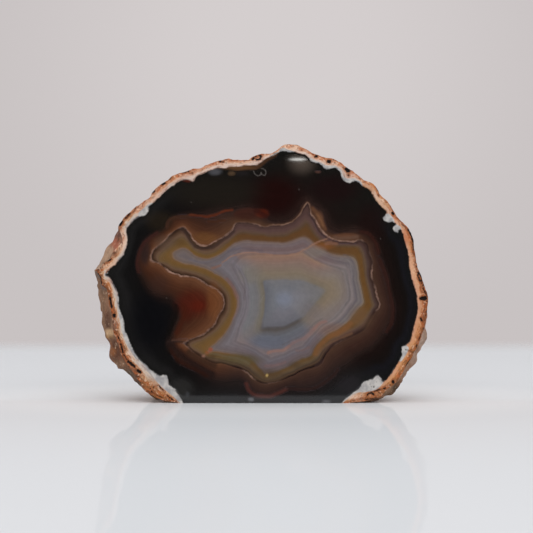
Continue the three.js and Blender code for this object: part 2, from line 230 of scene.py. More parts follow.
# Outer and inner borders of the amber band.
AMBER_OUTER = [
    (159, 261), (160, 255.5), (165, 250.5), (171, 245.5), (177, 240.5), (182, 238), (186.5, 240.5),
    (190.5, 246), (196, 251), (204, 254.5), (211.5, 253.5), (219, 249), (227, 243.5), (233, 237.5),
    (240, 233.5), (250, 233.8), (262, 235.3), (275, 236.3), (288, 235), (296.5, 230.8), (303.3, 226.1),
    (306.5, 223.2), (310, 228), (315.5, 235), (320, 239.5), (325, 242.5), (333, 245.5), (345, 246),
    (357, 246.4), (361, 251), (363.2, 260.5), (365, 271.8), (367.2, 284), (369, 293), (371, 301.8),
    (371.5, 306), (368, 312.7), (363.3, 319.4), (356.6, 325), (350, 329), (342, 332.7), (334.3, 336.8),
    (327, 343), (320.5, 350), (317.5, 357), (312, 361.5), (305, 364), (297, 368), (288, 372), (278, 376.5),
    (268, 379.5), (262, 378), (256, 372.5), (249, 367), (242, 363.3), (235, 361.3), (225, 359.7),
    (213, 357.5), (206, 354.5), (199, 351), (192, 345.8), (197, 342.3), (203, 339.8), (209.5, 336),
    (216, 331), (222, 325), (227, 318), (230, 310), (231, 303), (230, 295.5), (226, 289), (220, 283.5),
    (212, 278.3), (204, 274.5), (196, 271.5), (188, 269.5), (180, 268), (172, 265.8), (165, 262.5),
]
AMBER_INNER = [
    (174, 258), (173, 254), (175, 251), (180, 248.7), (185, 248.3), (190, 251), (196, 256), (204, 258.3),
    (212, 257.2), (222, 252), (230, 246.5), (236, 242), (245, 240.7), (258, 241.3), (268, 241.8),
    (280, 242.3), (290, 241), (297, 238.4), (303, 236.4), (308, 238.2), (313.3, 242.2), (318, 246.8),
    (324.5, 251.2), (333.3, 254.6), (343.3, 256), (352, 256.8), (355.8, 260), (357.9, 267.2),
    (359, 277.2), (360.7, 287.3), (362.6, 296), (363, 302), (359, 307.4), (353.5, 313.9), (349.5, 320),
    (343.3, 325.5), (336.3, 329.8), (328, 334), (322, 338), (318, 342.8), (314.4, 348.5), (312.5, 353),
    (309, 356.3), (303.3, 357.8), (296.8, 361), (290, 365.5), (280, 370), (270, 373), (264.5, 373.5),
    (259, 367), (252, 359.5), (246, 356.3), (238, 354.8), (225, 352.5), (214, 351.3), (208, 351.5),
    (211, 347), (216, 342.5), (222, 336.5), (228, 328), (233, 318), (236.6, 308), (237.2, 300),
    (234.8, 292), (229, 284), (221, 277), (211, 271), (201, 267), (190, 264.5), (181, 262),
]

# The blue-grey middle and its centre.
CORE_LINE = [
    (263, 280.5), (271, 280), (285, 279.7), (300, 280), (306, 282), (316, 286), (325, 290), (321, 296),
    (315, 303), (309, 310), (303.3, 317.2), (297, 321.5), (285.5, 327.2), (278, 328.6), (269, 329),
    (261, 328.8), (262, 321), (264, 311.5), (265.3, 297), (264, 288),
]
CORE_MIDDLE = (284, 300)

# Where the pale line shows, and how strongly: middle, radius, strength.
PALE_LINE_SHOWN = [
    ((154, 262), 8, 0.5), ((170, 272), 7, 0.9), ((182, 276), 10, 0.8), ((197, 279), 9, 0.5),
    ((210, 287), 9, 0.5), ((221, 298), 9, 0.5), ((224, 309), 8, 0.35), ((216, 322), 8, 0.35),
    ((204, 333), 9, 0.4), ((186, 341), 12, 0.25), ((188, 232), 6, 0.4), ((194, 240), 6, 0.75),
    ((202, 246), 7, 0.65), ((213, 243), 7, 0.6), ((224, 236), 8, 0.4), ((233, 228), 6, 0.45),
    ((246, 223), 8, 0.12), ((258, 225), 6, 0.4), ((272, 225), 10, 0.25), ((287, 223.5), 8, 0.45),
    ((299, 214), 7, 0.3), ((306, 204), 5, 0.5), ((312, 214), 6, 0.55), ((318, 225), 6, 0.65),
    ((326, 235), 7, 0.75), ((338, 240.5), 8, 0.65), ((351, 241), 8, 0.55), ((362, 240), 3, 0.3),
    ((370, 256), 6, 0.12), ((372, 272), 7, 0.5), ((377, 294), 9, 0.5), ((379, 305), 6, 0.45),
    ((152, 252), 8, 0.45), ((166, 238), 10, 0.35), ((182, 226.5), 6, 0.2), ((249, 374.5), 7, 0.5),
    ((272, 382), 8, 0.15), ((338, 343), 8, 0.1),
]

# Lines drawn over the bands: each line, its half width in pixels, its colour and strength.
STROKES = [
    ([(171, 343), (177, 351), (185, 357.5), (194, 363.5), (203, 369.5), (212, 374)],
     4.6, (34, 23, 21), 0.85),
    ([(189, 351.5), (197, 357), (205, 361), (214, 365)], 3.4, (52, 36, 28), 0.8),
    ([(184, 306), (184.5, 312), (183, 318), (180, 326), (177, 333)], 2.8, (66, 27, 15), 0.6),
    ([(176, 306), (176.5, 312), (174.5, 318), (171.5, 325), (168, 333)], 2.4, (14, 12, 11), 0.7),
    ([(206, 352.6), (216, 354), (228, 356.6), (240, 359), (249, 363.5)], 1.1, (100, 92, 72), 0.5),
    ([(205, 356.4), (216, 359), (228, 361.4), (240, 364.4), (247, 368)], 0.9, (66, 52, 36), 0.5),
    ([(326, 244), (330, 243.2), (336, 243.6)], 1.8, (126, 88, 69), 0.7),
    ([(255, 167), (259.5, 165.3), (262.6, 163.2), (265.6, 160.4), (268.6, 158), (272.4, 156), (276, 153.4)],
     2.0, (78, 52, 36), 0.75),
    ([(166.5, 227), (168, 221.5), (172, 218.5), (178, 217), (186, 216), (193, 215)], 1.8, (66, 42, 31), 0.8),
    ([(190, 215), (198, 215.6), (206, 216.6), (213, 215), (220, 212.5), (226, 210.3), (232, 209.6)],
     1.3, (94, 43, 25), 0.85),
    ([(208, 221), (216, 221.2), (225, 220.5)], 1.5, (70, 40, 26), 0.6),
    ([(236, 213.5), (242, 211), (250, 210), (256, 210.5)], 2.6, (62, 34, 27), 0.8),
    ([(255, 210), (260, 212.5), (266, 216)], 2.4, (52, 22, 18), 0.8),
    ([(157, 233), (151, 237), (145, 242), (141, 248), (138.5, 256), (137, 264), (139, 271)],
     2.0, (58, 32, 28), 0.8),
    ([(361, 232), (367, 233), (372, 237.5), (376.5, 245), (379, 253)], 2.2, (50, 26, 21), 0.8),
    ([(380, 260), (384, 270), (387, 280), (390, 292), (392.3, 304), (393, 313), (391, 323), (386.5, 331)],
     2.2, (50, 28, 24), 0.8),
    ([(246, 383), (249, 390), (254, 394.3), (261, 396), (270, 395.6), (278, 393), (286, 389.5)],
     2.0, (76, 44, 39), 0.9),
    ([(287, 388.5), (298, 388.6), (309, 388.5), (318, 385.8), (326, 381), (333, 375.5), (338, 369)],
     1.6, (50, 32, 30), 0.7),
    ([(171, 350), (176, 357.5), (182, 362.5), (190, 367), (198, 370.5), (207, 375.3)],
     2.0, (44, 22, 16), 0.8),
    ([(212, 267.6), (216, 266.6), (220.5, 264.8)], 1.3, (126, 92, 78), 0.8),
    ([(222, 262), (230, 257.5), (238, 254.6), (247, 253.2), (257, 253), (266.5, 254), (278, 254.9),
      (288, 254.8), (297, 253.2), (303.3, 250), (309, 246.7), (315.7, 242.8), (321.8, 240), (327.5, 238.4)],
     0.8, (150, 112, 92), 0.8),
    ([(240, 257), (255, 256.4), (270, 257.6), (284, 257.8), (296, 256.5)], 2.6, (132, 104, 90), 0.5),
    ([(227, 279), (231, 284), (234.6, 290.5), (237.3, 298)], 1.6, (116, 86, 80), 0.7),
    ([(238, 296), (238.6, 304), (236.6, 312), (233, 319)], 1.0, (124, 100, 98), 0.5),
    ([(233, 262), (241, 271), (245.6, 281), (247.4, 292), (246, 304), (242.4, 316), (236, 328)],
     1.6, (116, 110, 116), 0.5),
    ([(236, 266), (242.5, 276), (244.6, 288), (244, 300)], 0.7, (92, 82, 86), 0.5),
    ([(240.5, 268), (246, 279), (248.4, 290), (247.6, 302)], 0.7, (98, 92, 98), 0.4),
    ([(268, 352.6), (272, 351.6), (282.5, 350.4), (288, 346.8)], 1.5, (146, 108, 96), 0.7),
    ([(288, 346.6), (294.5, 342.1), (302.5, 338.8), (309, 334.3), (313.2, 329), (318, 324.5),
      (325.5, 321.3)], 1.8, (128, 102, 98), 0.7),
    ([(314, 329), (318, 324.6), (322, 322.4), (326, 321.4)], 1.3, (140, 102, 92), 0.5),
    ([(282, 345), (290, 341), (300, 336.2), (308, 330), (314, 323.6), (322, 318.6)], 0.8, (92, 84, 82), 0.5),
    ([(265, 365.4), (272, 366), (279, 364.6), (285, 362)], 1.4, (118, 92, 90), 0.6),
    ([(296, 350), (303, 349.6), (309, 347)], 1.4, (118, 92, 86), 0.5),
    ([(315, 354), (317.5, 348.5), (321.5, 343), (327, 338.5), (334, 334.6), (341, 331), (347, 326.8),
      (350.5, 322.5)], 2.6, (120, 82, 52), 0.75),
    ([(316, 366), (319.5, 363.4), (322, 360.4)], 1.3, (52, 38, 36), 0.8),
    ([(318, 355), (321, 350), (326, 345.4), (334, 341), (343, 337), (352, 333.5)], 1.2, (116, 84, 62), 0.5),
    ([(168, 341), (178, 341.2), (188, 342.4)], 1.2, (44, 32, 29), 0.8),
    ([(172, 339.6), (180, 339.4), (187, 338.6)], 0.9, (82, 58, 49), 0.6),
    ([(181, 229), (185, 231.5), (188, 236), (190, 241), (194.5, 246), (201, 248.2), (208, 248)],
     1.5, (54, 41, 38), 0.7),
    ([(208, 248), (215, 245.6), (222, 241), (229, 236), (234, 231)], 1.5, (58, 44, 40), 0.7),
    ([(309.6, 214), (313, 220), (317.6, 228), (322, 233.5), (326.5, 237.4)], 0.8, (56, 40, 39), 0.8),
    ([(333, 241.4), (343, 242.8), (352, 242.6), (358, 242)], 0.9, (58, 42, 38), 0.8),
    ([(313, 208), (317, 212.5), (320, 217), (322.5, 222), (325.5, 229)], 2.0, (102, 68, 48), 0.7),
    ([(317, 214.5), (320.5, 219.5), (323.5, 226)], 1.3, (120, 84, 58), 0.6),
    ([(334, 237.6), (343, 238.4), (352, 237.6), (358, 236.8)], 1.6, (96, 72, 60), 0.7),
    ([(343, 254.5), (350, 257.5), (353, 264), (354, 276), (355.5, 288), (356.5, 298), (352, 308)],
     0.7, (96, 88, 90), 0.6),
    ([(338, 262), (345, 263.5), (347.6, 272), (349, 284), (350, 296), (345, 306)], 0.7, (100, 92, 92), 0.5),
    ([(330, 266), (340, 269), (343, 280), (344, 292), (339, 302)], 0.7, (108, 98, 94), 0.4),
    ([(340, 258.6), (349, 260.6), (351, 270), (352, 282), (353, 296)], 0.8, (126, 118, 116), 0.5),
    ([(190, 259.5), (200, 262.2), (210, 261), (220, 256.6), (230, 250.8), (240, 247.4)],
     1.2, (98, 92, 98), 0.6),
    ([(228, 252.2), (238, 249.4), (250, 249.2), (262, 249.8)], 1.0, (88, 80, 90), 0.4),
]

# Thin pale curls and scratches in the black and blue agate.
PALE_MARKS = [
    [(253.5, 170.5), (254.5, 173.5), (258, 175.8), (260.5, 174.5), (261.2, 172)],
    [(261.2, 173.6), (264.5, 175.3), (266, 173), (265.5, 170), (263, 168.3), (261, 168)],
    [(260, 302), (262, 298), (264, 295)],
    [(299, 188.6), (299, 189.4)],
    [(380.2, 238.3), (380.8, 238.7)],
    [(302, 280.6), (302.4, 281.4)],
    [(166.2, 298), (167, 298.2)],
    [(191, 201.7), (191.3, 202.3)],
]

# White and grey chalcedony between the crust and the black agate.
CHALCEDONY = [
    [(117, 296), (118.2, 305), (118.8, 315), (120, 322), (121.2, 329), (123.6, 337), (127.4, 345),
     (130.4, 350), (134.4, 356), (139.4, 361), (144.2, 366), (149, 371), (153.4, 377), (157, 382),
     (160, 385), (164, 389), (169, 393), (174, 397), (179, 402), (188, 408), (190, 402), (182, 390),
     (176, 380), (166, 370), (150, 362), (140, 350), (134, 338), (130, 325), (126, 312), (122, 300),
     (120, 292)],
    [(321, 162), (325, 164.3), (330, 165), (335, 165), (338.5, 167), (342, 170), (343.5, 175), (346, 177.5),
     (350, 178), (354, 177.5), (358, 179.5), (362, 182), (362, 190), (345, 190), (334, 178), (322, 174),
     (314, 165), (306, 158), (311, 157.5), (316, 160)],
    [(385, 214), (388, 213), (391.5, 215.3), (394, 218.5), (395, 222), (392, 226), (380, 224), (379, 217)],
    [(392.5, 222), (396, 223.5), (400.5, 226), (401.5, 229), (399, 236), (390, 234)],
    [(401, 343), (406.5, 345.2), (409, 348), (407, 353), (404.5, 357), (400, 362), (396, 355), (398, 345)],
    [(346, 400), (350, 396.4), (355, 393), (360, 392.3), (365, 392), (372, 391), (377, 389), (381, 385.5),
     (384, 381), (386, 377), (378, 368), (360, 376), (350, 388), (338, 398), (340, 404)],
    [(138, 216), (139, 211.5), (143, 208), (147, 204.5), (152, 202), (154, 206), (150, 214), (144, 218)],
    [(278.5, 151), (280, 148.2), (284, 147), (288, 148.8), (293, 150.2), (296, 152), (290, 156), (280, 154)],
]

# Dark pits, cracks and rims of the crust: a line through each, and its half width in pixels.
DARK_MARKS = [
    ([(316, 156), (316.6, 156)], 1.5), ([(328.6, 161), (329.4, 161.2)], 1.9),
    ([(347, 169), (348, 170)], 2.2), ([(348.5, 174.5), (348.6, 175.5)], 1.1),
    ([(392.5, 213), (393.5, 214)], 1.3), ([(408.5, 229.5), (411.5, 235), (413, 241), (414, 250)], 1),
    ([(418, 270.5), (420.6, 274), (422.2, 279), (421.6, 283.4), (419.4, 280), (418, 275), (418, 270.5)],
     0.75),
    ([(421.4, 298.4), (424.8, 298.2)], 2),
    ([(420.5, 318), (422, 321)], 0.9), ([(405.5, 349.5), (408, 350.5), (412, 351.5)], 0.5),
    ([(366.5, 395.5), (368.5, 393), (371.5, 392.4), (373.5, 394.5)], 0.9),
    ([(372, 391.5), (379, 389.5), (387, 387.5)], 0.6), ([(392.5, 381), (393.5, 382.5)], 1.2),
    ([(252.5, 159), (255, 156.2), (259, 154.8), (261.3, 155.4), (260.5, 158.2), (256.5, 159.6)], 0.9),
    ([(219.5, 161), (223, 161.3)], 0.9), ([(152.6, 192), (154, 190.6)], 1.1),
    ([(161.5, 184.3), (165, 182.6)], 0.8), ([(169.6, 179), (171.4, 177)], 0.8),
    ([(182.5, 172.6), (186, 171.6), (189, 171)], 0.7),
    ([(125, 218.5), (127.5, 215.5), (129.5, 213.3)], 0.9), ([(119.8, 224.6), (122, 221.6)], 1.4),
    ([(104.5, 263.4), (107.5, 261.2), (111, 259.2)], 0.9), ([(98, 273.5), (100, 278), (101.3, 283.5)], 0.9),
    ([(109.7, 297), (110.8, 302), (112, 307.5)], 1.1), ([(114.1, 315), (114.4, 316)], 1.6),
    ([(112.9, 332), (113.1, 332.4)], 0.9), ([(116, 333), (118.5, 337.5), (120.5, 342)], 0.5),
    ([(121, 344), (122.2, 348), (123, 352)], 0.9), ([(124, 354.5), (126, 358), (129, 361.5)], 0.6),
    ([(128, 361), (131, 363.5), (134.5, 366.4)], 1.25), ([(138, 370), (140.6, 372)], 1.4),
    ([(150, 388.5), (154, 386.6), (159, 385), (162, 388.5), (165, 392)], 0.4),
    ([(167, 395), (170, 397.4), (173, 399.5)], 0.6), ([(107.5, 272), (108.5, 270.6)], 0.6),
    ([(371, 386), (371.3, 386.2)], 0.8), ([(373.5, 386.3), (373.8, 386.7)], 0.9),
    ([(376, 381.5), (376.2, 382.5)], 0.5), ([(369.4, 383.3), (369.6, 383.7)], 0.6),
    ([(420.5, 334), (418.5, 341), (416.3, 346), (413, 352.5), (410, 359), (407, 364), (403.5, 368.5)], 0.55),
    ([(414.5, 251), (415.4, 256), (415.6, 263), (417, 267)], 0.5), ([(423, 288), (425.5, 293.5)], 0.6),
    ([(426.6, 297), (427.4, 303), (426, 312), (424.8, 319)], 0.5), ([(423, 320), (423.6, 330)], 0.4),
    ([(364, 399.4), (372, 398.3), (382, 397.6)], 0.6), ([(352, 399.8), (357, 399.6), (362, 398)], 0.4),
    ([(117.4, 231.5), (119, 229.5)], 0.7), ([(376, 185.8), (378.5, 189.6), (380, 193.6)], 0.5),
    ([(384.5, 197.2), (388, 200.6)], 0.6), ([(136, 205.6), (134.6, 209), (132.6, 212)], 0.4),
    ([(151.4, 390.6), (156, 394.6), (163, 397.6)], 0.5), ([(192, 172.6), (192.2, 173.6)], 0.5),
]

# Soft stains over the bands: middle, half widths, colour, strength.
STAINS = [
    ((275, 196), (30, 24), (30, 9, 8), 0.9), ((335, 188), (28, 16), (28, 13, 14), 0.7),
    ((372, 224), (16, 24), (28, 14, 13), 0.6), ((215, 192), (50, 18), (31, 27, 22), 0.8),
    ((150, 322), (24, 34), (11, 11, 14), 0.9), ((160, 221), (16, 12), (42, 33, 22), 0.5),
    ((194, 303), (20, 16), (76, 26, 16), 0.75), ((198, 306), (9, 7), (88, 26, 14), 0.5),
    ((214, 300), (8, 22), (116, 70, 38), 0.5), ((160, 284), (12, 12), (54, 37, 32), 0.5),
    ((205, 238), (14, 7), (108, 72, 40), 0.6), ((246, 216), (14, 6), (56, 28, 22), 0.7),
    ((262, 213), (8, 5), (92, 32, 14), 0.6), ((320, 220), (4, 10), (108, 74, 54), 0.5),
    ((345, 236.5), (16, 3.5), (112, 74, 52), 0.6), ((323, 246), (13, 5), (132, 80, 44), 0.5),
    ((334, 330), (20, 8), (120, 83, 60), 0.4), ((240, 359), (26, 6), (86, 78, 54), 0.6),
    ((145, 256), (5, 9), (46, 32, 30), 0.6), ((187, 316), (6, 8), (66, 22, 12), 0.5),
    ((312, 312), (12, 12), (108, 101, 104), 0.5), ((211, 349), (2.6, 2.4), (158, 72, 36), 0.7),
    ((207.5, 352.5), (2.6, 2.2), (150, 70, 36), 0.65), ((203.5, 355.8), (2.6, 1.6), (176, 128, 110), 0.6),
    ((315, 252), (12, 7), (123, 113, 104), 0.6), ((360, 317), (12, 12), (108, 82, 60), 0.5),
    ((268, 375), (20, 7), (76, 60, 45), 0.55), ((180, 243), (8, 5), (82, 60, 36), 0.5),
    ((213, 355.5), (7, 3.4), (74, 60, 42), 0.6), ((296, 365), (9, 4), (74, 61, 48), 0.5),
    ((284, 299), (9, 8), (119, 123, 136), 0.7), ((182, 388), (14, 12), (44, 43, 42), 0.7),
    ((350, 384), (13, 10), (40, 37, 40), 0.6), ((165, 243), (12, 9), (88, 70, 58), 0.5),
    ((146, 252), (6.5, 15), (40, 31, 31), 0.6), ((268, 342), (24, 8), (96, 99, 111), 0.6),
    ((333, 290), (12, 16), (128, 114, 96), 0.5), ((250, 275), (12, 10), (122, 113, 100), 0.5),
    ((215, 171.3), (7.4, 4.2), (92, 92, 97), 0.6), ((231.5, 173.2), (4.2, 2.5), (98, 76, 56), 0.6),
    ((242, 173.5), (7, 3), (42, 38, 40), 0.35), ((240, 167.4), (20, 3), (96, 66, 43), 0.9),
    ((318, 171.6), (3.5, 1.3), (88, 60, 52), 0.8), ((267.3, 375.2), (1.6, 1.8), (190, 160, 100), 0.9),
    ((286.5, 388.2), (1.6, 1.2), (120, 96, 90), 0.8), ((187.5, 394), (2.4, 3), (66, 66, 70), 0.6),
    ((251, 399), (3.5, 2.2), (104, 104, 108), 0.7), ((326, 401), (5, 1.8), (90, 90, 94), 0.7),
    ((187, 180.8), (5, 1.2), (120, 40, 20), 0.5),
]

# Patches of the crust outside: middle, half widths, colour, strength.
SIDE_STAINS = [
    ((106, 254), (10, 11), (166, 134, 110), 0.9), ((116, 243), (6, 8), (158, 92, 70), 0.9),
    ((118, 234), (5, 5), (104, 64, 56), 0.8), ((98, 266), (6, 6), (178, 148, 126), 0.7),
    ((98, 274), (4, 5), (96, 92, 92), 0.6), ((104, 287), (4, 4), (110, 104, 104), 0.6),
    ((104, 305), (7, 16), (130, 98, 76), 0.8), ((108, 320), (4, 12), (86, 56, 42), 0.85),
    ((109, 333), (6, 5), (196, 160, 122), 0.9), ((109, 337), (5, 2), (150, 112, 64), 0.6),
    ((116, 350), (9, 14), (86, 50, 32), 0.85), ((110, 347), (3, 8), (136, 82, 48), 0.6),
    ((113, 352), (4, 5), (144, 88, 48), 0.7), ((120, 365), (8, 5), (136, 102, 78), 0.7),
    ((131, 373), (8, 6), (92, 80, 66), 0.7), ((138, 383), (7, 4), (84, 64, 50), 0.8),
    ((148, 391), (7, 4), (120, 84, 58), 0.7), ((155, 396), (8, 4), (150, 104, 60), 0.7),
    ((422, 340), (5, 16), (168, 142, 126), 0.9), ((416, 360), (7, 12), (160, 132, 116), 0.9),
    ((409, 375), (8, 9), (146, 116, 98), 0.85), ((400, 384), (8, 6), (112, 78, 56), 0.9),
    ((395, 389), (4.5, 5), (74, 58, 44), 0.95), ((388, 394), (8, 3), (112, 90, 72), 0.7),
    ((424, 325), (3, 8), (150, 112, 90), 0.7), ((376, 398), (10, 3), (96, 70, 52), 0.7),
]

# Colours of the bands from the black agate (1) inwards to the middle (7), on four sides of the stone.
BANDS_ABOVE = [
    (1, (22, 21, 19)), (1.5, (25, 20, 18)), (1.8, (27, 19, 17)), (2.06, (50, 35, 31)), (2.35, (58, 40, 33)),
    (2.75, (76, 52, 39)), (2.95, (84, 58, 42)), (3.03, (44, 31, 29)), (3.14, (74, 54, 50)),
    (3.5, (86, 64, 60)), (3.75, (91, 69, 59)), (3.9, (88, 68, 53)), (4.05, (88, 65, 45)),
    (4.3, (94, 64, 37)), (4.75, (93, 65, 42)), (4.94, (104, 80, 62)), (5.02, (114, 97, 91)),
    (5.1, (111, 97, 98)), (5.2, (110, 91, 90)), (5.3, (115, 99, 99)), (5.37, (139, 111, 94)),
    (5.46, (134, 107, 96)), (5.62, (126, 108, 98)), (5.85, (124, 111, 95)), (5.97, (120, 111, 101)),
    (6.03, (114, 112, 114)), (6.3, (110, 110, 114)), (6.7, (115, 116, 123)), (7, (117, 121, 131)),
]
BANDS_RIGHT = [
    (1, (20, 20, 20)), (1.3, (23, 22, 26)), (1.45, (20, 16, 15)), (1.85, (25, 16, 14)),
    (2.06, (38, 27, 24)), (2.35, (50, 33, 28)), (2.6, (58, 38, 31)), (2.92, (70, 49, 39)),
    (3.04, (46, 33, 30)), (3.3, (64, 46, 41)), (3.6, (78, 61, 55)), (3.85, (94, 74, 58)),
    (4.03, (92, 70, 48)), (4.25, (101, 71, 39)), (4.7, (101, 72, 42)), (4.93, (103, 84, 62)),
    (5.01, (122, 108, 98)), (5.06, (104, 96, 96)), (5.11, (116, 108, 106)), (5.17, (102, 95, 98)),
    (5.25, (123, 112, 111)), (5.34, (118, 110, 109)), (5.43, (120, 109, 105)), (5.6, (125, 114, 107)),
    (5.8, (126, 111, 95)), (5.95, (117, 106, 91)), (6.03, (112, 109, 108)), (6.5, (118, 116, 121)),
    (7, (117, 121, 131)),
]
BANDS_BELOW = [
    (1, (36, 36, 37)), (1.5, (33, 32, 33)), (1.8, (30, 26, 26)), (2.05, (38, 30, 28)), (2.4, (51, 36, 32)),
    (2.7, (59, 41, 34)), (2.94, (72, 50, 40)), (3.04, (32, 22, 20)), (3.25, (52, 38, 31)),
    (3.5, (81, 62, 47)), (3.72, (71, 56, 46)), (3.95, (82, 68, 53)), (4.25, (96, 76, 54)),
    (4.72, (94, 71, 44)), (4.95, (92, 75, 58)), (5.03, (96, 84, 82)), (5.15, (103, 92, 95)),
    (5.27, (103, 97, 102)), (5.4, (116, 104, 104)), (5.55, (100, 99, 107)), (5.78, (98, 99, 105)),
    (5.9, (94, 92, 94)), (5.98, (83, 77, 74)), (6.04, (86, 82, 83)), (6.1, (101, 100, 106)),
    (6.5, (112, 110, 116)), (7, (117, 121, 131)),
]
BANDS_LEFT = [
    (1, (24, 23, 22)), (1.25, (29, 28, 28)), (1.5, (19, 18, 18)), (1.85, (17, 15, 15)),
    (2.06, (42, 28, 23)), (2.4, (64, 37, 25)), (2.7, (79, 47, 31)), (2.95, (101, 65, 44)),
    (3.05, (36, 24, 19)), (3.3, (67, 47, 35)), (3.5, (84, 62, 48)), (3.72, (102, 78, 60)),
    (3.86, (97, 76, 57)), (4.1, (103, 79, 51)), (4.5, (108, 80, 45)), (4.85, (110, 82, 51)),
    (4.97, (116, 92, 72)), (5.04, (106, 94, 91)), (5.12, (104, 96, 99)), (5.2, (116, 110, 114)),
    (5.28, (107, 99, 102)), (5.36, (115, 108, 112)), (5.5, (113, 112, 114)), (5.72, (112, 109, 110)),
    (5.88, (114, 108, 99)), (5.97, (110, 102, 90)), (6.04, (99, 99, 105)), (6.4, (109, 110, 115)),
    (7, (117, 121, 131)),
]

# Colours of the crust where the saw cut through it, from outside (0) to inside (1), on the same four sides.
CRUST_ABOVE = [
    (0, (146, 88, 58)), (0.12, (190, 132, 100)), (0.3, (200, 150, 122)), (0.45, (214, 176, 152)),
    (0.6, (215, 190, 174)), (0.75, (206, 184, 172)), (0.86, (186, 158, 144)), (1, (114, 91, 81)),
]
CRUST_RIGHT = [
    (0, (62, 38, 29)), (0.15, (90, 54, 39)), (0.27, (140, 86, 58)), (0.38, (166, 106, 70)),
    (0.5, (198, 142, 102)), (0.6, (204, 153, 118)), (0.8, (204, 150, 118)), (0.9, (208, 156, 128)),
    (1, (182, 136, 113)),
]
CRUST_BELOW = [
    (0, (94, 62, 43)), (0.15, (148, 102, 70)), (0.3, (148, 104, 74)), (0.4, (166, 114, 76)),
    (0.5, (180, 136, 98)), (0.62, (176, 148, 124)), (0.78, (184, 168, 155)), (0.88, (180, 170, 165)),
    (1, (164, 159, 160)),
]
CRUST_LEFT = [
    (0, (86, 56, 40)), (0.15, (102, 62, 42)), (0.27, (122, 80, 54)), (0.38, (168, 120, 86)),
    (0.48, (194, 152, 117)), (0.58, (202, 180, 161)), (0.68, (198, 184, 172)), (0.8, (178, 166, 160)),
    (0.9, (152, 145, 143)), (1, (104, 101, 103)),
]

# Stretches of the cut crust with a colour of their own: middle, half widths, colour, strength.
CRUST_STAINS = [
    ((121, 240), (8, 14), (224, 190, 168), 0.8), ((150, 200), (16, 12), (224, 174, 146), 0.5),
    ((114.5, 246), (3, 5), (176, 98, 72), 0.36), ((119, 247), (3, 9), (204, 140, 72), 0.23),
    ((109, 283), (4, 7), (196, 112, 40), 0.32), ((111.5, 293), (2.4, 6), (170, 92, 34), 0.36),
    ((112.5, 306), (2.2, 5), (204, 122, 50), 0.36), ((117.5, 322), (2, 7), (150, 96, 70), 0.32),
    ((115, 324), (3, 7), (176, 136, 116), 0.27), ((118, 341), (3, 9), (158, 118, 100), 0.36),
    ((127, 362), (4, 8), (148, 112, 92), 0.36), ((134, 370), (6, 7), (144, 104, 80), 0.38),
    ((149, 384), (14, 8), (152, 102, 62), 0.6), ((110, 262), (9, 10), (216, 164, 128), 0.6),
    ((163, 395), (12, 5), (188, 130, 68), 0.36), ((146, 378), (7, 3), (206, 172, 134), 0.27),
    ((130, 359), (3, 7), (214, 140, 98), 0.27), ((170, 178), (14, 6), (204, 128, 72), 0.34),
    ((160, 187), (9, 7), (200, 112, 62), 0.36), ((184, 174), (8, 4), (176, 90, 52), 0.34),
    ((369, 187), (13, 9), (188, 126, 72), 0.6), ((383, 202), (10, 14), (196, 144, 92), 0.41),
    ((374, 184), (6, 4), (184, 104, 56), 0.32), ((344, 171), (7, 7), (150, 106, 82), 0.27),
    ((407, 237), (6, 9), (180, 98, 56), 0.6), ((411, 247), (2.5, 6), (206, 138, 82), 0.32),
    ((396, 218), (5, 4), (198, 118, 72), 0.36), ((423, 306), (5, 12), (160, 92, 58), 0.41),
    ((418, 328), (6, 12), (184, 120, 68), 0.38), ((412, 348), (6, 14), (194, 134, 78), 0.41),
    ((402, 364), (8, 14), (194, 132, 72), 0.41), ((390, 380), (9, 8), (188, 126, 64), 0.41),
    ((386, 392), (12, 5), (178, 118, 66), 0.41), ((370, 396), (12, 4), (178, 118, 72), 0.36),
    ((355, 397), (9, 4), (226, 192, 168), 0.7), ((414, 268), (5, 12), (220, 172, 138), 0.6),
    ((240, 160), (6, 2), (206, 140, 100), 0.27), ((289, 147), (13, 4.6), (236, 200, 172), 0.7),
    ((292, 146), (4, 2), (204, 132, 96), 0.3), ((136, 208), (10, 7), (222, 168, 138), 0.6),
    ((325, 158), (9, 2.4), (210, 134, 88), 0.32), ((340, 163), (6, 3), (208, 132, 88), 0.32),
    ((349, 171), (4, 4), (170, 98, 66), 0.27), ((352, 174), (3, 3), (170, 84, 54), 0.32),
]

# Which way round the middle the colours on the right, below and on the left hold, in degrees: middle and
# half width, and how softly they meet. The colours above hold everywhere else.
SIDES = ((-5, 43), (-90, 44), (180, 46))
SIDE_BLEND = 14

# Height of the crust's finest bumps, in metres.
BUMP_DEPTH = 0.0004

# Thickness of the crust where the base was sawn through it, and the depth over which colour settles inside.
BASE_CRUST = 3
BASE_FADE = 11

# How far behind the face the patches of the crust start and end to fade out.
SIDE_STAINS_END = (16, 26)

# The stage: table and wall in metres, colours and lights.
TABLE_COLOUR = (210, 212, 215)
# Painted light on the table: a paler oval round the stone, as its half widths in metres, where its fade
# starts and ends as shares of them, and its paler colour.
TABLE_PAINTED_LIGHT = ((0.062, 0.046), 0.9, 1.9, (222, 223, 225))
TABLE_GLOSS = (0.085, 0.19)
GLOSS_TINT = (1, 0.85, 0.78, 1)
TABLE_END = (0.27, 0.43)
TABLE_START = (-0.62, -0.28)
STAGE_WIDTH = 4.0
WALL_PLACE = 1.5
WALL_HEIGHTS = (-1, 2)
WALL_GLOW = ((0.02, WALL_PLACE, 0.3), 0.05, 0.42, (212, 206, 206), (200, 194, 194))
SKY_COLOUR = (0.98, 0.99, 1, 1)
SKY = (0.2, 0.55, 0.02, 1.1)
SIDE_SKY = (0.6, 0.95, 0.0, 1.4)

# The light in front: its size, place, target and power.
FRONT_LIGHT = ((1.6, 0.7), (0.1, -1.5, 0.95), (0, 0, 0.03), 10.5)

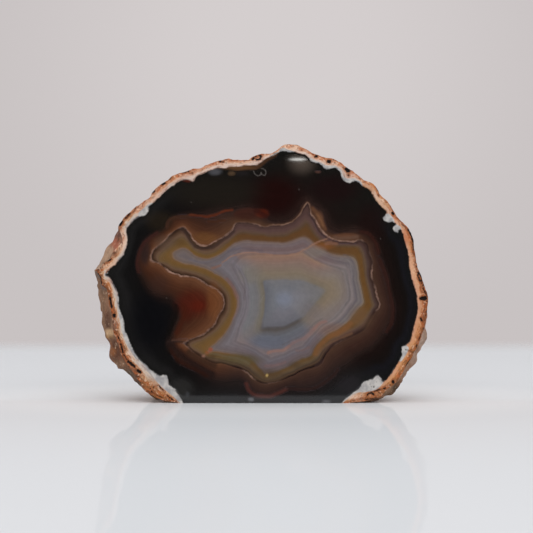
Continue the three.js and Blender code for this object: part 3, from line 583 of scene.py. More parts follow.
# The small bright window and the glow under it that the polished face mirrors: where each is seen in the
# picture, its half widths in pixels, its brightness, where that starts to fade, and its colour.
WINDOW = ((298, 159), (12, 1.7), 18, 0.35, (255, 252, 246))
GLOW = ((302, 162), (20, 17), 1.7, 0.0, (255, 226, 204))

# How far in front of the face the window and its glow are. The glow is just behind.
WINDOW_DISTANCE = 1.0
GLOW_DISTANCE = 1.01


def linear(colour):
    """Screen colour from 0 to 255, as linear light."""
    share = [c / 255 for c in colour]
    return tuple(c / 12.92 if c <= 0.04045 else ((c + 0.055) / 1.055) ** 2.4 for c in share)


def smoothstep(value, low, high):
    share = np.clip((value - low) / (high - low), 0, 1)
    return share * share * (3 - 2 * share)


def on_plane(points, depth=0):
    """Picture points, as millimetres across and up the plane that lies this far behind the face."""
    px = np.array(points, float).reshape(-1, 2)
    growth = (VIEW_DISTANCE + depth) / VIEW_DISTANCE
    across = VIEW_SIDE + (px[:, 0] - PICTURE_MIDDLE) * SCALE * growth
    up = VIEW_HEIGHT + (PICTURE_MIDDLE - px[:, 1]) * SCALE * growth
    return np.stack([across, up], 1)


def place(across, depth, up):
    """From across, depth and height along the leaning face, to millimetres before the stone is centred."""
    y = depth * math.cos(LEAN) + up * math.sin(LEAN) - THICKNESS / 2
    z = up * math.cos(LEAN) - depth * math.sin(LEAN)
    return np.stack(np.broadcast_arrays(across, y, z), -1)


def upright(points):
    """Points across and up, in rows of three with no depth."""
    return np.insert(points, 1, 0, axis=1)


def lying(points):
    """Points of the base, in rows of three with no height."""
    return np.insert(points, 2, 0, axis=1)


def smooth_curve(points, steps, closed):
    """A smooth curve through points, with this many steps from each to the next."""
    p = np.array(points, float)
    if closed:
        padded = np.concatenate([p[-1:], p, p[:2]])
    else:
        padded = np.concatenate([p[:1], p, p[-1:]])
    a, b, c, d = padded[:-3], padded[1:-2], padded[2:-1], padded[3:]
    t = np.linspace(0, 1, steps, endpoint=False)[:, None, None]
    curve = 0.5 * (2 * b + (c - a) * t + (2 * a - 5 * b + 4 * c - d) * t**2 + (3 * b - a - 3 * c + d) * t**3)
    curve = curve.transpose(1, 0, 2).reshape(-1, 2)
    return curve if closed else np.concatenate([curve, p[-1:]])


def lengths_along(line):
    """How far along a polyline each of its points lies."""
    return np.concatenate([[0], np.cumsum(np.hypot(*np.diff(line, axis=0).T))])


def evenly_spaced(loop, count):
    closed = np.concatenate([loop, loop[:1]])
    length = lengths_along(closed)
    at = np.linspace(0, length[-1], count, endpoint=False)
    return np.stack([np.interp(at, length, closed[:, 0]), np.interp(at, length, closed[:, 1])], 1)


def distance_to(points, line):
    """Distance of each point from a polyline."""
    best = np.full(len(points), 1e9)
    for a, b in zip(line[:-1], line[1:]):
        along = b - a
        offset = points - a
        share = np.clip(offset @ along / max(along @ along, 1e-12), 0, 1)
        gap = offset - share[:, None] * along
        best = np.minimum(best, gap[:, 0] ** 2 + gap[:, 1] ** 2)
    return np.sqrt(best)


def inside(points, loop):
    odd = np.zeros(len(points), bool)
    x, y = points.T
    for (ax, ay), (bx, by) in zip(loop, np.roll(loop, -1, 0)):
        if ay == by:
            continue
        crosses = (ay > y) != (by > y)
        odd ^= crosses & (x < (bx - ax) * (y - ay) / (by - ay) + ax)
    return odd


def depth_inside(points, loop):
    """Distance from a closed outline, positive inside it and negative outside."""
    gap = distance_to(points, np.concatenate([loop, loop[:1]]))
    return np.where(inside(points, loop), gap, -gap)


def depth_in_shape(points, shape, steps=3):
    """The same for a shape read off the picture, its outline smoothed."""
    return depth_inside(points, smooth_curve(on_plane(shape), steps, True))


def corner_numbers(cell, seed):
    s = np.sin(cell[..., 0] * 127.1 + cell[..., 1] * 311.7 + cell[..., 2] * 74.7 + seed * 53.3) * 43758.5453
    return s - np.floor(s)


def noise(p, seed):
    """Smooth noise from -1 to 1 at each row of p."""
    cell = np.floor(p)
    f = p - cell
    ease = f**3 * (f * (6 * f - 15) + 10)
    total = np.zeros(len(p))
    for n in range(8):
        corner = np.array([n & 1, (n >> 1) & 1, n >> 2])
        weight = np.prod(np.where(corner, ease, 1 - ease), axis=1)
        total += weight * corner_numbers(cell + corner, seed)
    return 2 * total - 1


def layered_noise(p, layers):
    return sum(height * noise(p / size, seed) for height, size, seed in layers)


def nearest_point(p, seed):
    """Distance to the nearest of the points scattered one to each cell."""
    cell = np.floor(p)
    best = np.full(len(p), 1e9)
    for n in range(27):
        c = cell + np.array([n % 3, n // 3 % 3, n // 9]) - 1
        at = c + np.stack([corner_numbers(c, seed + k) for k in range(3)], -1)
        best = np.minimum(best, np.linalg.norm(p - at, axis=1))
    return best


def relief(p, calm):
    """The solid's own lumps, knobs, ridges and pits at each point."""
    lumps = LUMPS[0] * noise(p / LUMPS[1], LUMPS[2])
    knobs = KNOBS[0] * noise(p / KNOBS[1], KNOBS[2])
    along = p * np.array([1, RIDGES[2], 1]) / RIDGES[1]
    ridges = RIDGES[0] * (1 - 2 * np.abs(noise(along, RIDGES[3])))
    hollow = 1 - nearest_point(p / PITS[1], PITS[3]) / PITS[2]
    pits = PITS[0] * smoothstep(hollow, 0, 1)
    return lumps + calm * (knobs + ridges - pits) - SUNK


def fine_relief(p):
    """Grain, small pits and striations that the solid is too coarse to carry."""
    striations = STRIATIONS[0] * noise(p * np.array([1, STRIATIONS[2], 1]) / STRIATIONS[1], STRIATIONS[3])
    holes = 1 - nearest_point(p / HOLES[1], HOLES[3]) / HOLES[2]
    return layered_noise(p, GRAIN) + striations - HOLES[0] * smoothstep(holes, 0, 0.8)


def make_columns():
    """The face's edge, each point with its angle round the axis and the nodule's other radii that way."""
    axis = on_plane(AXIS)[0]
    edge = evenly_spaced(smooth_curve(on_plane(FACE_EDGE), 6, True), COLUMNS)
    outward = edge - axis
    rim = np.hypot(*outward.T)
    angle = np.arctan2(outward[:, 1], outward[:, 0])
    rim = rim + layered_noise(upright(edge), RAGGED_EDGE)
    girth_line = smooth_curve(on_plane(GIRTH_EDGE, GIRTH_DEPTH), 4, True) - axis
    girth_angle = np.arctan2(girth_line[:, 1], girth_line[:, 0])
    order = np.argsort(girth_angle)
    girth = np.interp(angle, girth_angle[order], np.hypot(*girth_line[order].T), period=2 * math.pi)
    oval = 1 / np.hypot(np.cos(angle) / BACK_RADII[0], np.sin(angle) / BACK_RADII[1])
    return axis, angle, rim, girth, oval


def ring_points(axis, angle, radius, depth, back):
    across = axis[0] + BACK_OFFSET[0] * back + radius * np.cos(angle)
    up = axis[1] + BACK_OFFSET[1] * back + radius * np.sin(angle)
    smooth = place(across, depth, up)
    sideways = 1 - back * back
    outward = np.stack(np.broadcast_arrays(np.cos(angle) * sideways, back, np.sin(angle) * sideways), -1)
    outward = outward / np.linalg.norm(outward, axis=1)[:, None]
    strength = smoothstep(depth, RELIEF_FROM, RELIEF_FULL)
    calm = 1 - smoothstep(back, CALM_BACK, 1)
    fine = smoothstep(depth, FINE_FROM, FINE_FULL) * fine_relief(smooth)
    return smooth + outward * (strength * relief(smooth, calm) + fine)[:, None]


def nodule_rings():
    """Rings of points from the face's edge to the back, and the point furthest back."""
    axis, angle, rim, girth, oval = make_columns()
    rings = []
    for row in range(BAND_ROWS + 1):
        share = row / BAND_ROWS
        depth = EDGE_ROUNDING + (GIRTH_DEPTH - EDGE_ROUNDING) * share**1.5
        swell = math.sin(depth / GIRTH_DEPTH * math.pi / 2)
        rings.append(ring_points(axis, angle, rim + (girth - rim) * swell, depth, 0))
    for row in range(1, DOME_ROWS):
        turn = row / DOME_ROWS * math.pi / 2
        back = math.sin(turn)
        depth = GIRTH_DEPTH + (THICKNESS - GIRTH_DEPTH) * back**DOME_POWER
        radius = (girth + (oval - girth) * back) * math.cos(turn) ** DOME_POWER
        rings.append(ring_points(axis, angle, radius, depth, back))
    far = ring_points(axis, np.zeros(1), np.zeros(1), THICKNESS, 1)
    return rings, far


def crust_shell():
    """The nodule's crust as a bmesh, open in front, cut off flat at the base."""
    rings, far = nodule_rings()
    shell = bmesh.new()
    uv = shell.loops.layers.uv.new("OFBake")
    verts = [[shell.verts.new(p) for p in ring] for ring in rings]
    tip = shell.verts.new(far[0])
    last = len(rings) - 1
    for row in range(last):
        for i in range(COLUMNS):
            j = (i + 1) % COLUMNS
            corners = [(row, i), (row, j), (row + 1, j), (row + 1, i)]
            face = shell.faces.new([verts[r][c] for r, c in corners])
            for loop, (r, c) in zip(face.loops, corners):
                column = c if c >= i else COLUMNS
                loop[uv].uv = laid_out(CRUST_UV, column / COLUMNS, r / (last + 1))
    for i in range(COLUMNS):
        face = shell.faces.new([verts[last][i], verts[last][(i + 1) % COLUMNS], tip])
        for loop, (u, v) in zip(face.loops, [(i, last), (i + 1, last), (i + 0.5, last + 1)]):
            loop[uv].uv = laid_out(CRUST_UV, u / COLUMNS, v / (last + 1))
    everything = shell.verts[:] + shell.edges[:] + shell.faces[:]
    bmesh.ops.bisect_plane(
        shell, geom=everything, dist=1e-5, plane_co=(0, 0, 0), plane_no=(0, 0, 1), clear_inner=True
    )
    return shell


def laid_out(part, u, v):
    (left, low), (wide, high) = part
    return left + wide * u, low + high * v


def face_uv(co):
    return laid_out(FACE_UV, co.x, co.z)


def base_uv(co):
    return laid_out(BASE_UV, co.y + THICKNESS / 2, co.x)


def boundary_loop(shell):
    """The open border of the shell, in order."""
    border = {}
    for edge in shell.edges:
        if len(edge.link_faces) == 1:
            for a, b in (edge.verts, reversed(edge.verts)):
                border.setdefault(a, []).append(b)
    start = next(iter(border))
    loop = [start]
    before, here = None, start
    while True:
        ahead = [v for v in border[here] if v is not before]
        before, here = here, ahead[0]
        if here is start:
            return loop
        loop.append(here)


def split_border(loop):
    """The border along the face and the border along the base. They share the two corners."""
    low = [abs(v.co.z) < 1e-4 for v in loop]
    starts = [i for i in range(len(loop)) if low[i] and not low[i - 1]]
    runs = []
    for start in starts:
        run = [loop[start]]
        k = start + 1
        while low[k % len(loop)]:
            run.append(loop[k % len(loop)])
            k += 1
        runs.append(run)
    base = max(runs, key=len)
    first = loop.index(base[-1])
    face = [loop[(first + k) % len(loop)] for k in range(len(loop) - len(base) + 2)]
    return face, base


def triangulate(border, inner):
    """Triangles over a flat outline with extra points inside it, as indices into border and then inner."""
    points = np.concatenate([border, inner])
    edges = [(i, (i + 1) % len(border)) for i in range(len(border))]
    _, _, faces, origins, _, _ = delaunay_2d_cdt([Vector(p) for p in points], edges, [], 0, 1e-7, True)
    triangles = np.array([[origins[i][0] for i in face] for face in faces])
    return triangles[inside(points[triangles].mean(1), border)].tolist()


def grid_inside(border, margin):
    low = border.min(0)
    high = border.max(0)
    x, y = np.meshgrid(np.arange(low[0], high[0], GRID), np.arange(low[1], high[1], GRID))
    x = x + (np.arange(x.shape[0]) % 2 * GRID / 2)[:, None]
    points = np.stack([x.ravel(), y.ravel()], 1)
    return points[depth_inside(points, border) > margin]


def dark_mark_depth(points):
    """How deep inside a pit or crack each face point lies, in millimetres, negative outside."""
    best = np.full(len(points), -1e3)
    for line, half_width in DARK_MARKS:
        best = np.maximum(best, half_width * SCALE - distance_to(points, on_plane(line)))
    return best


def face_dent(points):
    """How far each face point lies behind the polished plane: the crust's worn edge, grain and pits."""
    edge = depth_in_shape(points, FACE_EDGE)
    crust = -depth_in_shape(points, CRUST_LINE, 2)
    worn = EDGE_ROUNDING * (1 - smoothstep(edge, 0, WORN_WIDTH))
    depth, unevenness, size, seed = CUT_GRAIN
    grain = (depth + unevenness * noise(upright(points) / size, seed)) * smoothstep(crust, 0.1, 0.7)
    pits = CUT_PITS * smoothstep(dark_mark_depth(points), -0.15, 0.45)
    return worn + np.maximum(grain, 0) * smoothstep(edge, 0, 0.6) + pits * smoothstep(edge, 0, 0.4)


def on_face(points):
    return place(points[:, 0], face_dent(points), points[:, 1])


def fill(shell, border, flat, lift, material, to_uv):
    """Closes the shell over a flat border, with triangles over a fine grid that lift puts in place."""
    uv = shell.loops.layers.uv["OFBake"]
    inner = grid_inside(flat, GRID_MARGIN)
    verts = border + [shell.verts.new(p) for p in lift(inner)]
    for triangle in triangulate(flat, inner):
        face = shell.faces.new([verts[i] for i in triangle])
        face.material_index = material
        for loop in face.loops:
            loop[uv].uv = to_uv(loop.vert.co)


def stone_mesh():
    """The whole stone as one closed mesh: crust, polished face and sawn base."""
    shell = crust_shell()
    face_border, base_border = split_border(boundary_loop(shell))
    start, end = base_border[0].co.x, base_border[-1].co.x
    steps = round(abs(end - start) / GRID)
    front_line = [
        shell.verts.new((start + (end - start) * k / steps, -THICKNESS / 2, 0)) for k in range(1, steps)
    ]
    border = face_border + front_line
    flat = np.array([(v.co.x, v.co.z / math.cos(LEAN)) for v in border])
    fill(shell, border, flat, on_face, 1, face_uv)
    border = base_border + front_line[::-1]
    flat = np.array([(v.co.x, v.co.y) for v in border])
    fill(shell, border, flat, lying, 2, base_uv)
    bmesh.ops.recalc_face_normals(shell, faces=shell.faces)
    for edge in shell.edges:
        a, b = edge.link_faces
        edge.smooth = a.material_index == b.material_index
    for face in shell.faces:
        face.smooth = True
    return shell


def wobble(points):
    """A little waviness for drawn lines."""
    p = upright(points)
    return points + np.stack([layered_noise(p, WAVES_ACROSS), layered_noise(p, WAVES_UP)], 1)


def band_number(depths):
    """Which band each point is in: whole at each border and rising evenly to the next one inwards."""
    number = np.zeros(len(depths[0]))
    for k in range(len(depths) - 1):
        here = depths[k] >= 0
        part = depths[k] / np.maximum(depths[k] + np.abs(depths[k + 1]), 1e-6)
        number[here] = k + part[here]
    return number


def laid_over(under, colour, alpha):
    """One soft layer of paint over another, as colour and strength."""
    strength = under[:, 3:]
    alpha = alpha[:, None]
    total = alpha + strength * (1 - alpha)
    kept = strength * (1 - alpha) / np.maximum(total, 1e-6)
    return np.concatenate([under[:, :3] * kept + np.array(linear(colour)) * (1 - kept), total], 1)


def stained(points, stains, strokes=()):
    """The stains and then the strokes that lie at each point, as one colour and strength."""
    paint = np.zeros((len(points), 4))
    for middle, half_widths, colour, amount in stains:
        offset = (points - on_plane([middle])) / (np.array(half_widths) * SCALE)
        paint = laid_over(paint, colour, amount * (1 - smoothstep(np.hypot(*offset.T), 0.35, 1.25)))
    for line, half_width, colour, amount in strokes:
        gap = distance_to(points, smooth_curve(on_plane(line), 4, False)) / (half_width * SCALE)
        paint = laid_over(paint, colour, amount * (1 - smoothstep(gap, 0.3, 1.5)))
    return paint


def pale_line_shown(points):
    shown = np.zeros(len(points))
    for middle, radius, strength in PALE_LINE_SHOWN:
        gap = np.hypot(*(points - on_plane([middle])).T) / (radius * SCALE)
        shown = np.maximum(shown, strength * (1 - smoothstep(gap, 0.4, 1.5)))
    return shown


def along_edge(points):
    """How far round the face's edge each point lies, in millimetres."""
    edge = smooth_curve(on_plane(FACE_EDGE), 1, True)
    length = lengths_along(edge)
    best = np.full(len(points), 1e9)
    along = np.zeros(len(points))
    for a, b, start in zip(edge[:-1], edge[1:], length):
        step = b - a
        share = np.clip((points - a) @ step / (step @ step), 0, 1)
        gap = np.hypot(*(points - a - share[:, None] * step).T)
        along = np.where(gap < best, start + share * np.hypot(*step), along)
        best = np.minimum(best, gap)
    return along


def side_weights(points):
    """How far each point lies on the right, below and on the left, from 0 to 1."""
    offset = points - on_plane([CORE_MIDDLE])
    angle = np.degrees(np.arctan2(offset[:, 1], offset[:, 0]))
    weights = []
    for middle, half_width in SIDES:
        turned = np.abs((angle - middle + 180) % 360 - 180)
        weights.append(1 - smoothstep(turned, half_width - SIDE_BLEND, half_width + SIDE_BLEND))
    return np.stack(weights + [np.ones(len(points))], 1)


def face_markings(points):
    """Everything that the polished face's material reads, at points across and up the face."""
    waved = wobble(points)
    borders = [FACE_EDGE, CRUST_LINE, BROWN_LINE, PALE_LINE, AMBER_OUTER, AMBER_INNER, CORE_LINE]
    depths = [depth_in_shape(waved, line) for line in borders]
    depths.append(-np.hypot(*(waved - on_plane([CORE_MIDDLE])).T))
    return {
        "band": band_number(depths),
        "inside_crust": depths[1],
        "inside_pale_line": depths[3],
        "chalk": np.max([depth_in_shape(points, shape) for shape in CHALCEDONY], 0),
        "dark_mark": dark_mark_depth(points),
        "pale": np.min([distance_to(points, on_plane(line)) for line in PALE_MARKS], 0),
        "pale_line": pale_line_shown(points),
        "along": along_edge(points),
        "stain": stained(waved, STAINS, STROKES),
        "crust_stain": stained(points, CRUST_STAINS),
        "sides": side_weights(points),
    }


def base_markings(points, border):
    """The same for the sawn base, where the crust is a ring round black agate and nothing else shows."""
    count = len(points)
    nothing = np.zeros((count, 4))
    waved = wobble(points)
    ring = distance_to(waved, border) - BASE_CRUST
    band = np.where(ring < 0, 1 + ring / BASE_CRUST, 1 + 0.8 * (1 - np.exp(-ring / BASE_FADE)))
    return {
        "band": np.maximum(band, 0),
        "inside_crust": ring,
        "inside_pale_line": np.full(count, -9.0),
        "chalk": ring + 0.7 + 0.5 * noise(lying(points) / 6, 97),
        "dark_mark": np.full(count, -9.0),
        "pale": np.full(count, 9.0),
        "pale_line": np.zeros(count),
        "along": points[:, 0] + points[:, 1],
        "stain": nothing,
        "crust_stain": nothing,
        "sides": np.tile([0.0, 1.0, 0.0, 1.0], (count, 1)),
    }


def side_stains(points):
    """The crust's own patches, which fade out towards the back."""
    behind = points[:, 1] - place(0, 0, VIEW_HEIGHT)[1]
    seen = (points[:, ::2] - [VIEW_SIDE, VIEW_HEIGHT]) * (VIEW_DISTANCE / (VIEW_DISTANCE + behind))[:, None]
    paint = stained(seen + [VIEW_SIDE, VIEW_HEIGHT], SIDE_STAINS)
    paint[:, 3] *= 1 - smoothstep(behind, *SIDE_STAINS_END)
    return paint


def write_attribute(mesh, name, values):
    """Gives each vertex a number, or a colour and strength."""
    wide = values.ndim > 1
    attribute = mesh.attributes.new(name, "FLOAT_COLOR" if wide else "FLOAT", "POINT")
    attribute.data.foreach_set("color" if wide else "value", values.ravel())


def dress_mesh(shell):
    """The stone's mesh with its markings as attributes, in metres round its own middle."""
    mesh = bpy.data.meshes.new("agate_stone")
    shell.to_mesh(mesh)
    shell.free()
    points = np.empty(3 * len(mesh.vertices))
    mesh.vertices.foreach_get("co", points)
    points = points.reshape(-1, 3)
    used = [set(), set(), set()]
    for polygon in mesh.polygons:
        used[polygon.material_index].update(polygon.vertices)
    face = np.array(sorted(used[1]))
    base = np.array(sorted(used[2] - used[1]))
    border = points[sorted(used[2] & used[0]), :2]
    middle = np.array([border[:, 0].mean(), -THICKNESS / 2])
    border = border[np.argsort(np.arctan2(*(border - middle).T))]
    in_front = face_markings(np.stack([points[face, 0], points[face, 2] / math.cos(LEAN)], 1))
    below = base_markings(points[base, :2], border)
    for name, values in in_front.items():
        whole = np.zeros((len(points), *values.shape[1:]))
        whole[face] = values
        whole[base] = below[name]
        write_attribute(mesh, name, whole)
    write_attribute(mesh, "side_stain", side_stains(points))
    centred = (points - np.array([*BOX_MIDDLE, 0])) / 1000
    mesh.vertices.foreach_set("co", centred.ravel())
    mesh.update()
    return mesh


class Shader:
    """Short ways to add the nodes of a material, or of the world, and join them."""

    def __init__(self, owner):
        self.owner = owner
        owner.use_nodes = True
        self.tree = owner.node_tree
        self.tree.nodes.clear()

    def join(self, socket, value):
        if isinstance(value, bpy.types.NodeSocket):
            self.tree.links.new(value, socket)
        else:
            socket.default_value = value

    def node(self, kind, inputs, **settings):
        node = self.tree.nodes.new("ShaderNode" + kind)
        for key, value in settings.items():
            setattr(node, key, value)
        for key, value in inputs.items():
            self.join(node.inputs[key], value)
        return node

    def attribute(self, name):
        return self.node("Attribute", {}, attribute_name=name)

    def level(self, name):
        return self.attribute(name).outputs["Fac"]

    def math(self, operation, *values):
        return self.node("Math", dict(enumerate(values)), operation=operation).outputs[0]

    def rise(self, value, low, high, start=0.0, end=1.0):
        """From start to end, smoothly, as value goes from low to high."""
        inputs = {"Value": value, "From Min": low, "From Max": high, "To Min": start, "To Max": end}
        return self.node("MapRange", inputs, interpolation_type="SMOOTHSTEP").outputs["Result"]

    def mix(self, factor, a, b):
        a, b = (v if isinstance(v, bpy.types.NodeSocket) else (*linear(v), 1) for v in (a, b))
        return self.node("Mix", {0: factor, 6: a, 7: b}, data_type="RGBA").outputs[2]

    def scaled(self, colour, factor):
        return self.node("VectorMath", {0: colour, "Scale": factor}, operation="SCALE").outputs[0]

    def ramp(self, value, stops, low, high):
        node = self.node("ValToRGB", {"Fac": self.span(value, low, high)})
        elements = node.color_ramp.elements
        while len(elements) < len(stops):
            elements.new(0.5)
        for element, (at, colour) in zip(elements, stops):
            element.position = (at - low) / (high - low)
            element.color = (*linear(colour), 1)
        return node.outputs["Color"]

    def span(self, value, low, high, start=0.0, end=1.0):
        """From start to end, evenly, as value goes from low to high."""
        inputs = {"Value": value, "From Min": low, "From Max": high, "To Min": start, "To Max": end}
        return self.node("MapRange", inputs).outputs["Result"]

    def place(self):
        return self.node("TexCoord", {}).outputs["Object"]

    def oval(self, half_widths):
        """How far out each place is in an oval on the ground or on a card, 1 at its edge."""
        shares = [1 / w for w in (*half_widths, 1)]
        scaled = self.node("VectorMath", {0: self.place(), 1: shares}, operation="MULTIPLY").outputs[0]
        return self.node("VectorMath", {0: scaled}, operation="LENGTH").outputs["Value"]

    def noise(self, size, detail=2.0, stretch=(1, 1, 1)):
        """Noise from 0 to 1 with lumps about this many millimetres across."""
        mapped = self.node("Mapping", {"Vector": self.place(), "Scale": [1000 * s for s in stretch]})
        inputs = {"Vector": mapped.outputs[0], "Scale": 1 / size, "Detail": detail}
        return self.node("TexNoise", inputs).outputs["Fac"]

    def finish(self, colour, roughness, bump=None, **inputs):
        settings = {"Base Color": colour, "Roughness": roughness}
        if bump is not None:
            bumped = self.node("Bump", {"Height": bump, "Distance": BUMP_DEPTH, "Strength": 1.0})
            settings["Normal"] = bumped.outputs[0]
        return self.show(self.node("BsdfPrincipled", settings | inputs))

    def show(self, shader):
        """Ends a material with this shader."""
        self.node("OutputMaterial", {"Surface": shader.outputs[0]})
        return self.owner


def streaks(s, along, across, detail=3.0):
    """Noise drawn out along the crust's edge: its grain's length and width, in millimetres."""
    band = s.math("MULTIPLY", s.level("inside_crust"), 1 / across)
    length = s.math("MULTIPLY", s.level("along"), 1 / along)
    place = s.node("CombineXYZ", {"X": length, "Y": band})
    return s.node("TexNoise", {"Vector": place.outputs[0], "Scale": 1.0, "Detail": detail}).outputs["Fac"]


def stained_with(s, colour, name):
    stain = s.attribute(name)
    return s.mix(stain.outputs["Alpha"], colour, stain.outputs["Color"])


def by_side(s, value, ramps, low, high):
    """The colour at this value, blended from the ramps of the four sides."""
    sides = s.node("SeparateColor", {"Color": s.attribute("sides").outputs["Color"]})
    colour = s.ramp(value, ramps[0], low, high)
    for part, stops in zip(sides.outputs, ramps[1:]):
        colour = s.mix(part, colour, s.ramp(value, stops, low, high))
    return colour


def banded(s):
    """The black, brown, amber and blue-grey bands, with the lines over them."""
    band = s.level("band")
    colour = by_side(s, band, (BANDS_ABOVE, BANDS_RIGHT, BANDS_BELOW, BANDS_LEFT), 1, 7)
    colour = stained_with(s, colour, "stain")
    fine = s.node("TexNoise", {"W": band, "Scale": 17.0, "Detail": 2.0}, noise_dimensions="1D")
    contrast = s.rise(band, 5.1, 5.8, 0.09, 0.03)
    lined = s.math("MULTIPLY", s.span(fine.outputs["Fac"], 0.3, 0.7, -1, 1), contrast)
    colour = s.scaled(colour, s.math("ADD", lined, 1.0))
    colour = s.scaled(colour, s.span(s.noise(1.3, 3.0), 0.3, 0.7, 0.95, 1.05))
    colour = s.mix(s.rise(s.level("pale"), 0.04, 0.28, 0.36, 0.0), colour, (128, 122, 118))
    line = s.math("ADD", s.level("inside_pale_line"), s.span(s.noise(0.8), 0.3, 0.7, -0.12, 0.12))
    line = s.rise(s.math("ABSOLUTE", line), 0.08, 0.38, 1.0, 0.0)
    broken = s.math("MULTIPLY", s.level("pale_line"), s.rise(s.noise(1.1), 0.3, 0.6, 0.45, 1.0))
    return s.mix(s.math("MULTIPLY", line, broken), colour, (160, 126, 110))


def cut_crust(s):
    """The sawn crust round the face: brown and orange outside, cream inside, flecked and pitted."""
    band = s.level("band")
    grain = s.span(streaks(s, 2.4, 0.5), 0.3, 0.7, -0.2, 0.2)
    ramps = CRUST_ABOVE, CRUST_RIGHT, CRUST_BELOW, CRUST_LEFT
    colour = by_side(s, s.math("ADD", band, grain), ramps, 0, 1)
    colour = stained_with(s, colour, "crust_stain")
    outer = s.rise(band, 0.3, 0.7, 1.0, 0.1)
    for noise, low, high, strength, fleck in (
        (streaks(s, 1.9, 0.6), 0.5, 0.62, 0.6, (186, 98, 50)),
        (streaks(s, 1.0, 0.45), 0.55, 0.66, 0.8, (72, 40, 27)),
        (s.noise(0.9), 0.54, 0.68, 0.55, (236, 200, 172)),
        (s.noise(0.6), 0.56, 0.68, 0.7, (128, 70, 44)),
    ):
        colour = s.mix(s.math("MULTIPLY", outer, s.rise(noise, low, high, 0.0, strength)), colour, fleck)
    colour = s.mix(s.rise(s.noise(0.7), 0.58, 0.7, 0.0, 0.3), colour, (172, 112, 80))
    halo = s.rise(s.level("dark_mark"), -0.6, -0.1, 0.0, 0.7)
    colour = s.mix(s.math("MULTIPLY", halo, s.rise(s.noise(0.9), 0.3, 0.55)), colour, (152, 86, 46))
    grey = s.mix(s.rise(s.noise(2.2), 0.35, 0.65), (153, 151, 152), (192, 188, 184))
    return s.mix(s.rise(s.level("chalk"), -0.05, 0.25), colour, grey)


def cut_stone():
    """The polished face and the sawn base: banded agate inside a pale crust."""
    s = Shader(bpy.data.materials.new("cut agate"))
    ragged = s.span(s.noise(0.7), 0.3, 0.7, -0.14, 0.14)
    inside_crust = s.level("inside_crust")
    marked = s.rise(s.math("ADD", s.level("dark_mark"), ragged), -0.12, 0.12)
    crust = s.mix(marked, cut_crust(s), (26, 19, 17))
    inner = s.rise(s.math("ADD", inside_crust, ragged), -0.4, 0.1)
    roughness = s.rise(inside_crust, -0.25, -0.05, 0.6, 0.02)
    mirroring = s.rise(inside_crust, -0.25, -0.05, 0.12, 0.5)
    return s.finish(s.mix(inner, crust, banded(s)), roughness, **{"Specular IOR Level": mirroring})


def rough_crust():
    """The nodule's outside: grey-brown and tan, with rusty and dark patches."""
    s = Shader(bpy.data.materials.new("rough crust"))
    colour = s.mix(s.rise(s.noise(14, 4.0), 0.35, 0.65), (112, 82, 62), (152, 118, 94))
    colour = s.mix(s.rise(s.noise(6, 4.0), 0.52, 0.68), colour, (150, 98, 74))
    colour = stained_with(s, colour, "side_stain")
    colour = s.mix(s.rise(s.noise(3.2, 4.0, (1, 2.2, 1)), 0.57, 0.74, 0.0, 0.7), colour, (84, 58, 42))
    colour = s.mix(s.rise(s.noise(9, 5.0), 0.66, 0.74, 0.0, 0.8), colour, (70, 66, 52))
    colour = s.mix(s.rise(s.noise(1.2, 3.0), 0.58, 0.72, 0.0, 0.7), colour, (186, 156, 130))
    striped = s.span(s.noise(1.0, 3.0, (1, 0.35, 0.35)), 0.3, 0.7, 0.82, 1.16)
    colour = s.scaled(colour, striped)
    return s.finish(colour, 0.85, s.noise(0.7, 4.0), **{"Specular IOR Level": 0.2})


def stone():
    mesh = dress_mesh(stone_mesh())
    cut = cut_stone()
    for material in (rough_crust(), cut, cut):
        mesh.materials.append(material)
    piece = bpy.data.objects.new("agate_stone", mesh)
    bpy.context.scene.collection.objects.link(piece)
    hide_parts("agate")
    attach(piece, "root")


def camera():
    data = bpy.data.cameras.new("camera")
    data.sensor_width = 36
    data.lens = 36 * VIEW_DISTANCE / SCALE / PICTURE_SIZE
    data.clip_start = 0.01
    data.clip_end = 20
    view = bpy.data.objects.new("camera", data)
    across = VIEW_SIDE - BOX_MIDDLE[0]
    back = place(0, 0, VIEW_HEIGHT)[1] - BOX_MIDDLE[1] - VIEW_DISTANCE
    view.location = (across / 1000, back / 1000, VIEW_HEIGHT / 1000)
    view.rotation_euler = (math.pi / 2, 0, 0)
    bpy.context.scene.collection.objects.link(view)
    bpy.context.scene.camera = view


def sheet(name, corners, material):
    mesh = bpy.data.meshes.new(name)
    mesh.from_pydata(corners, [], [range(len(corners))])
    mesh.materials.append(material)
    piece = bpy.data.objects.new(name, mesh)
    bpy.context.scene.collection.objects.link(piece)
    return piece


def table_material():
    """A pale, faintly glossy table whose far edge melts into the wall, with a painted pool of light: its
    colour is paler in an oval round the stone.
    """
    s = Shader(bpy.data.materials.new("table"))
    gloss = s.node("BsdfGlossy", {"Color": GLOSS_TINT, "Roughness": 0.02})
    half_widths, close, clear, colour = TABLE_PAINTED_LIGHT
    # Painted light: the table's colour is paler in an oval round the stone.
    near = s.rise(s.oval(half_widths), close, clear)
    matt = s.node("BsdfDiffuse", {"Color": s.mix(near, colour, TABLE_COLOUR)})
    y = s.node("SeparateXYZ", {0: s.place()}).outputs["Y"]
    shine = s.math("MULTIPLY", s.rise(y, -0.22, -0.02, *TABLE_GLOSS), s.rise(y, -0.02, 0.0, 1.0, 0.35))
    surface = s.node("MixShader", {0: shine, 1: matt.outputs[0], 2: gloss.outputs[0]})
    nothing = s.node("BsdfTransparent", {})
    ends = s.math("MAXIMUM", s.rise(y, *TABLE_END), s.rise(y, *TABLE_START, 1.0, 0.0))
    return s.show(s.node("MixShader", {0: ends, 1: surface.outputs[0], 2: nothing.outputs[0]}))


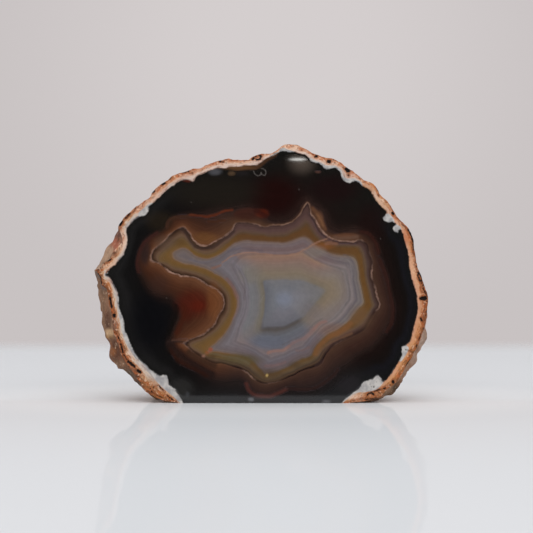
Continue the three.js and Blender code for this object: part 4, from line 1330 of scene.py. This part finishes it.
def wall_material():
    """The pale wall, a little brighter in the middle of the picture's top."""
    s = Shader(bpy.data.materials.new("wall"))
    middle, start, end, bright, plain = WALL_GLOW
    away = s.node("VectorMath", {0: s.place(), 1: middle}, operation="DISTANCE").outputs["Value"]
    colour = s.mix(s.rise(away, start, end), bright, plain)
    return s.show(s.node("Emission", {"Color": colour, "Strength": 1.0}))


def area_light(name, size, place, target, power):
    data = bpy.data.lights.new(name, "AREA")
    data.shape = "RECTANGLE"
    data.size, data.size_y = size
    data.energy = power
    lamp = bpy.data.objects.new(name, data)
    lamp.location = place
    lamp.rotation_euler = (Vector(target) - Vector(place)).to_track_quat("-Z", "Y").to_euler()
    bpy.context.scene.collection.objects.link(lamp)


def soft_sky():
    """Even light from above and both sides, and a dark room in front for the polished face to mirror."""
    s = Shader(bpy.data.worlds.new("studio"))
    bpy.context.scene.world = s.owner
    way = s.node("SeparateXYZ", {0: s.node("TexCoord", {}).outputs["Generated"]}).outputs
    above = s.rise(way["Z"], *SKY)
    beside = s.rise(s.math("ABSOLUTE", way["X"]), *SIDE_SKY)
    light = s.node("Background", {"Color": SKY_COLOUR, "Strength": s.math("MAXIMUM", above, beside)})
    s.node("OutputWorld", {"Surface": light.outputs[0]})


def card_material(name, half_widths, brightness, start, colour):
    """Light that is brightest in the middle of a card and fades to nothing at its edge."""
    s = Shader(bpy.data.materials.new(name))
    away = s.oval(half_widths)
    strength = s.rise(away, start, 1.0, brightness, 0.0)
    glow = s.node("Emission", {"Color": (*linear(colour), 1), "Strength": strength})
    clear = s.node("BsdfTransparent", {})
    solid = s.rise(away, 0.9, 1.0, 1.0, 0.0)
    return s.show(s.node("MixShader", {0: solid, 1: clear.outputs[0], 2: glow.outputs[0]}))


def seen_card(name, middle, half_widths, brightness, start, colour, away):
    """A glowing card behind the camera that the polished face mirrors at this place in the picture."""
    where, spot = mirrored(*middle, away)
    pixel = (VIEW_DISTANCE / 1000 + away) / (VIEW_DISTANCE / SCALE)
    x, y = (w * pixel for w in half_widths)
    corners = [(-x, -y, 0), (x, -y, 0), (x, y, 0), (-x, y, 0)]
    card = sheet(name, corners, card_material(name, (x, y), brightness, start, colour))
    card.location = where
    card.rotation_euler = (spot - where).to_track_quat("Z", "Y").to_euler()


def mirrored(px, py, away):
    """The place this far in front of the face that the camera sees mirrored at a picture point."""
    eye = bpy.context.scene.camera.location
    across, up = on_plane([(px, py)])[0]
    spot = place(across, 0, up) / 1000 - np.array([*BOX_MIDDLE, 0]) / 1000
    ray = (Vector(spot) - eye).normalized()
    normal = Vector((0, -math.cos(LEAN), math.sin(LEAN)))
    return Vector(spot) + ray.reflect(normal) * away, Vector(spot)


def stage():
    sides = -STAGE_WIDTH, STAGE_WIDTH, STAGE_WIDTH, -STAGE_WIDTH
    near, far = TABLE_START[0] - 0.05, TABLE_END[1] + 0.05
    table = [(x, y, 0) for x, y in zip(sides, (near, near, far, far))]
    sheet("table", table, table_material())
    low, high = WALL_HEIGHTS
    wall = [(x, WALL_PLACE, z) for x, z in zip(sides, (low, low, high, high))]
    sheet("wall", wall, wall_material())
    soft_sky()
    area_light("front", *FRONT_LIGHT)
    seen_card("window", *WINDOW, WINDOW_DISTANCE)
    seen_card("glow", *GLOW, GLOW_DISTANCE)


bpy.context.scene.view_settings.view_transform = "Standard"
stone()
camera()
stage()
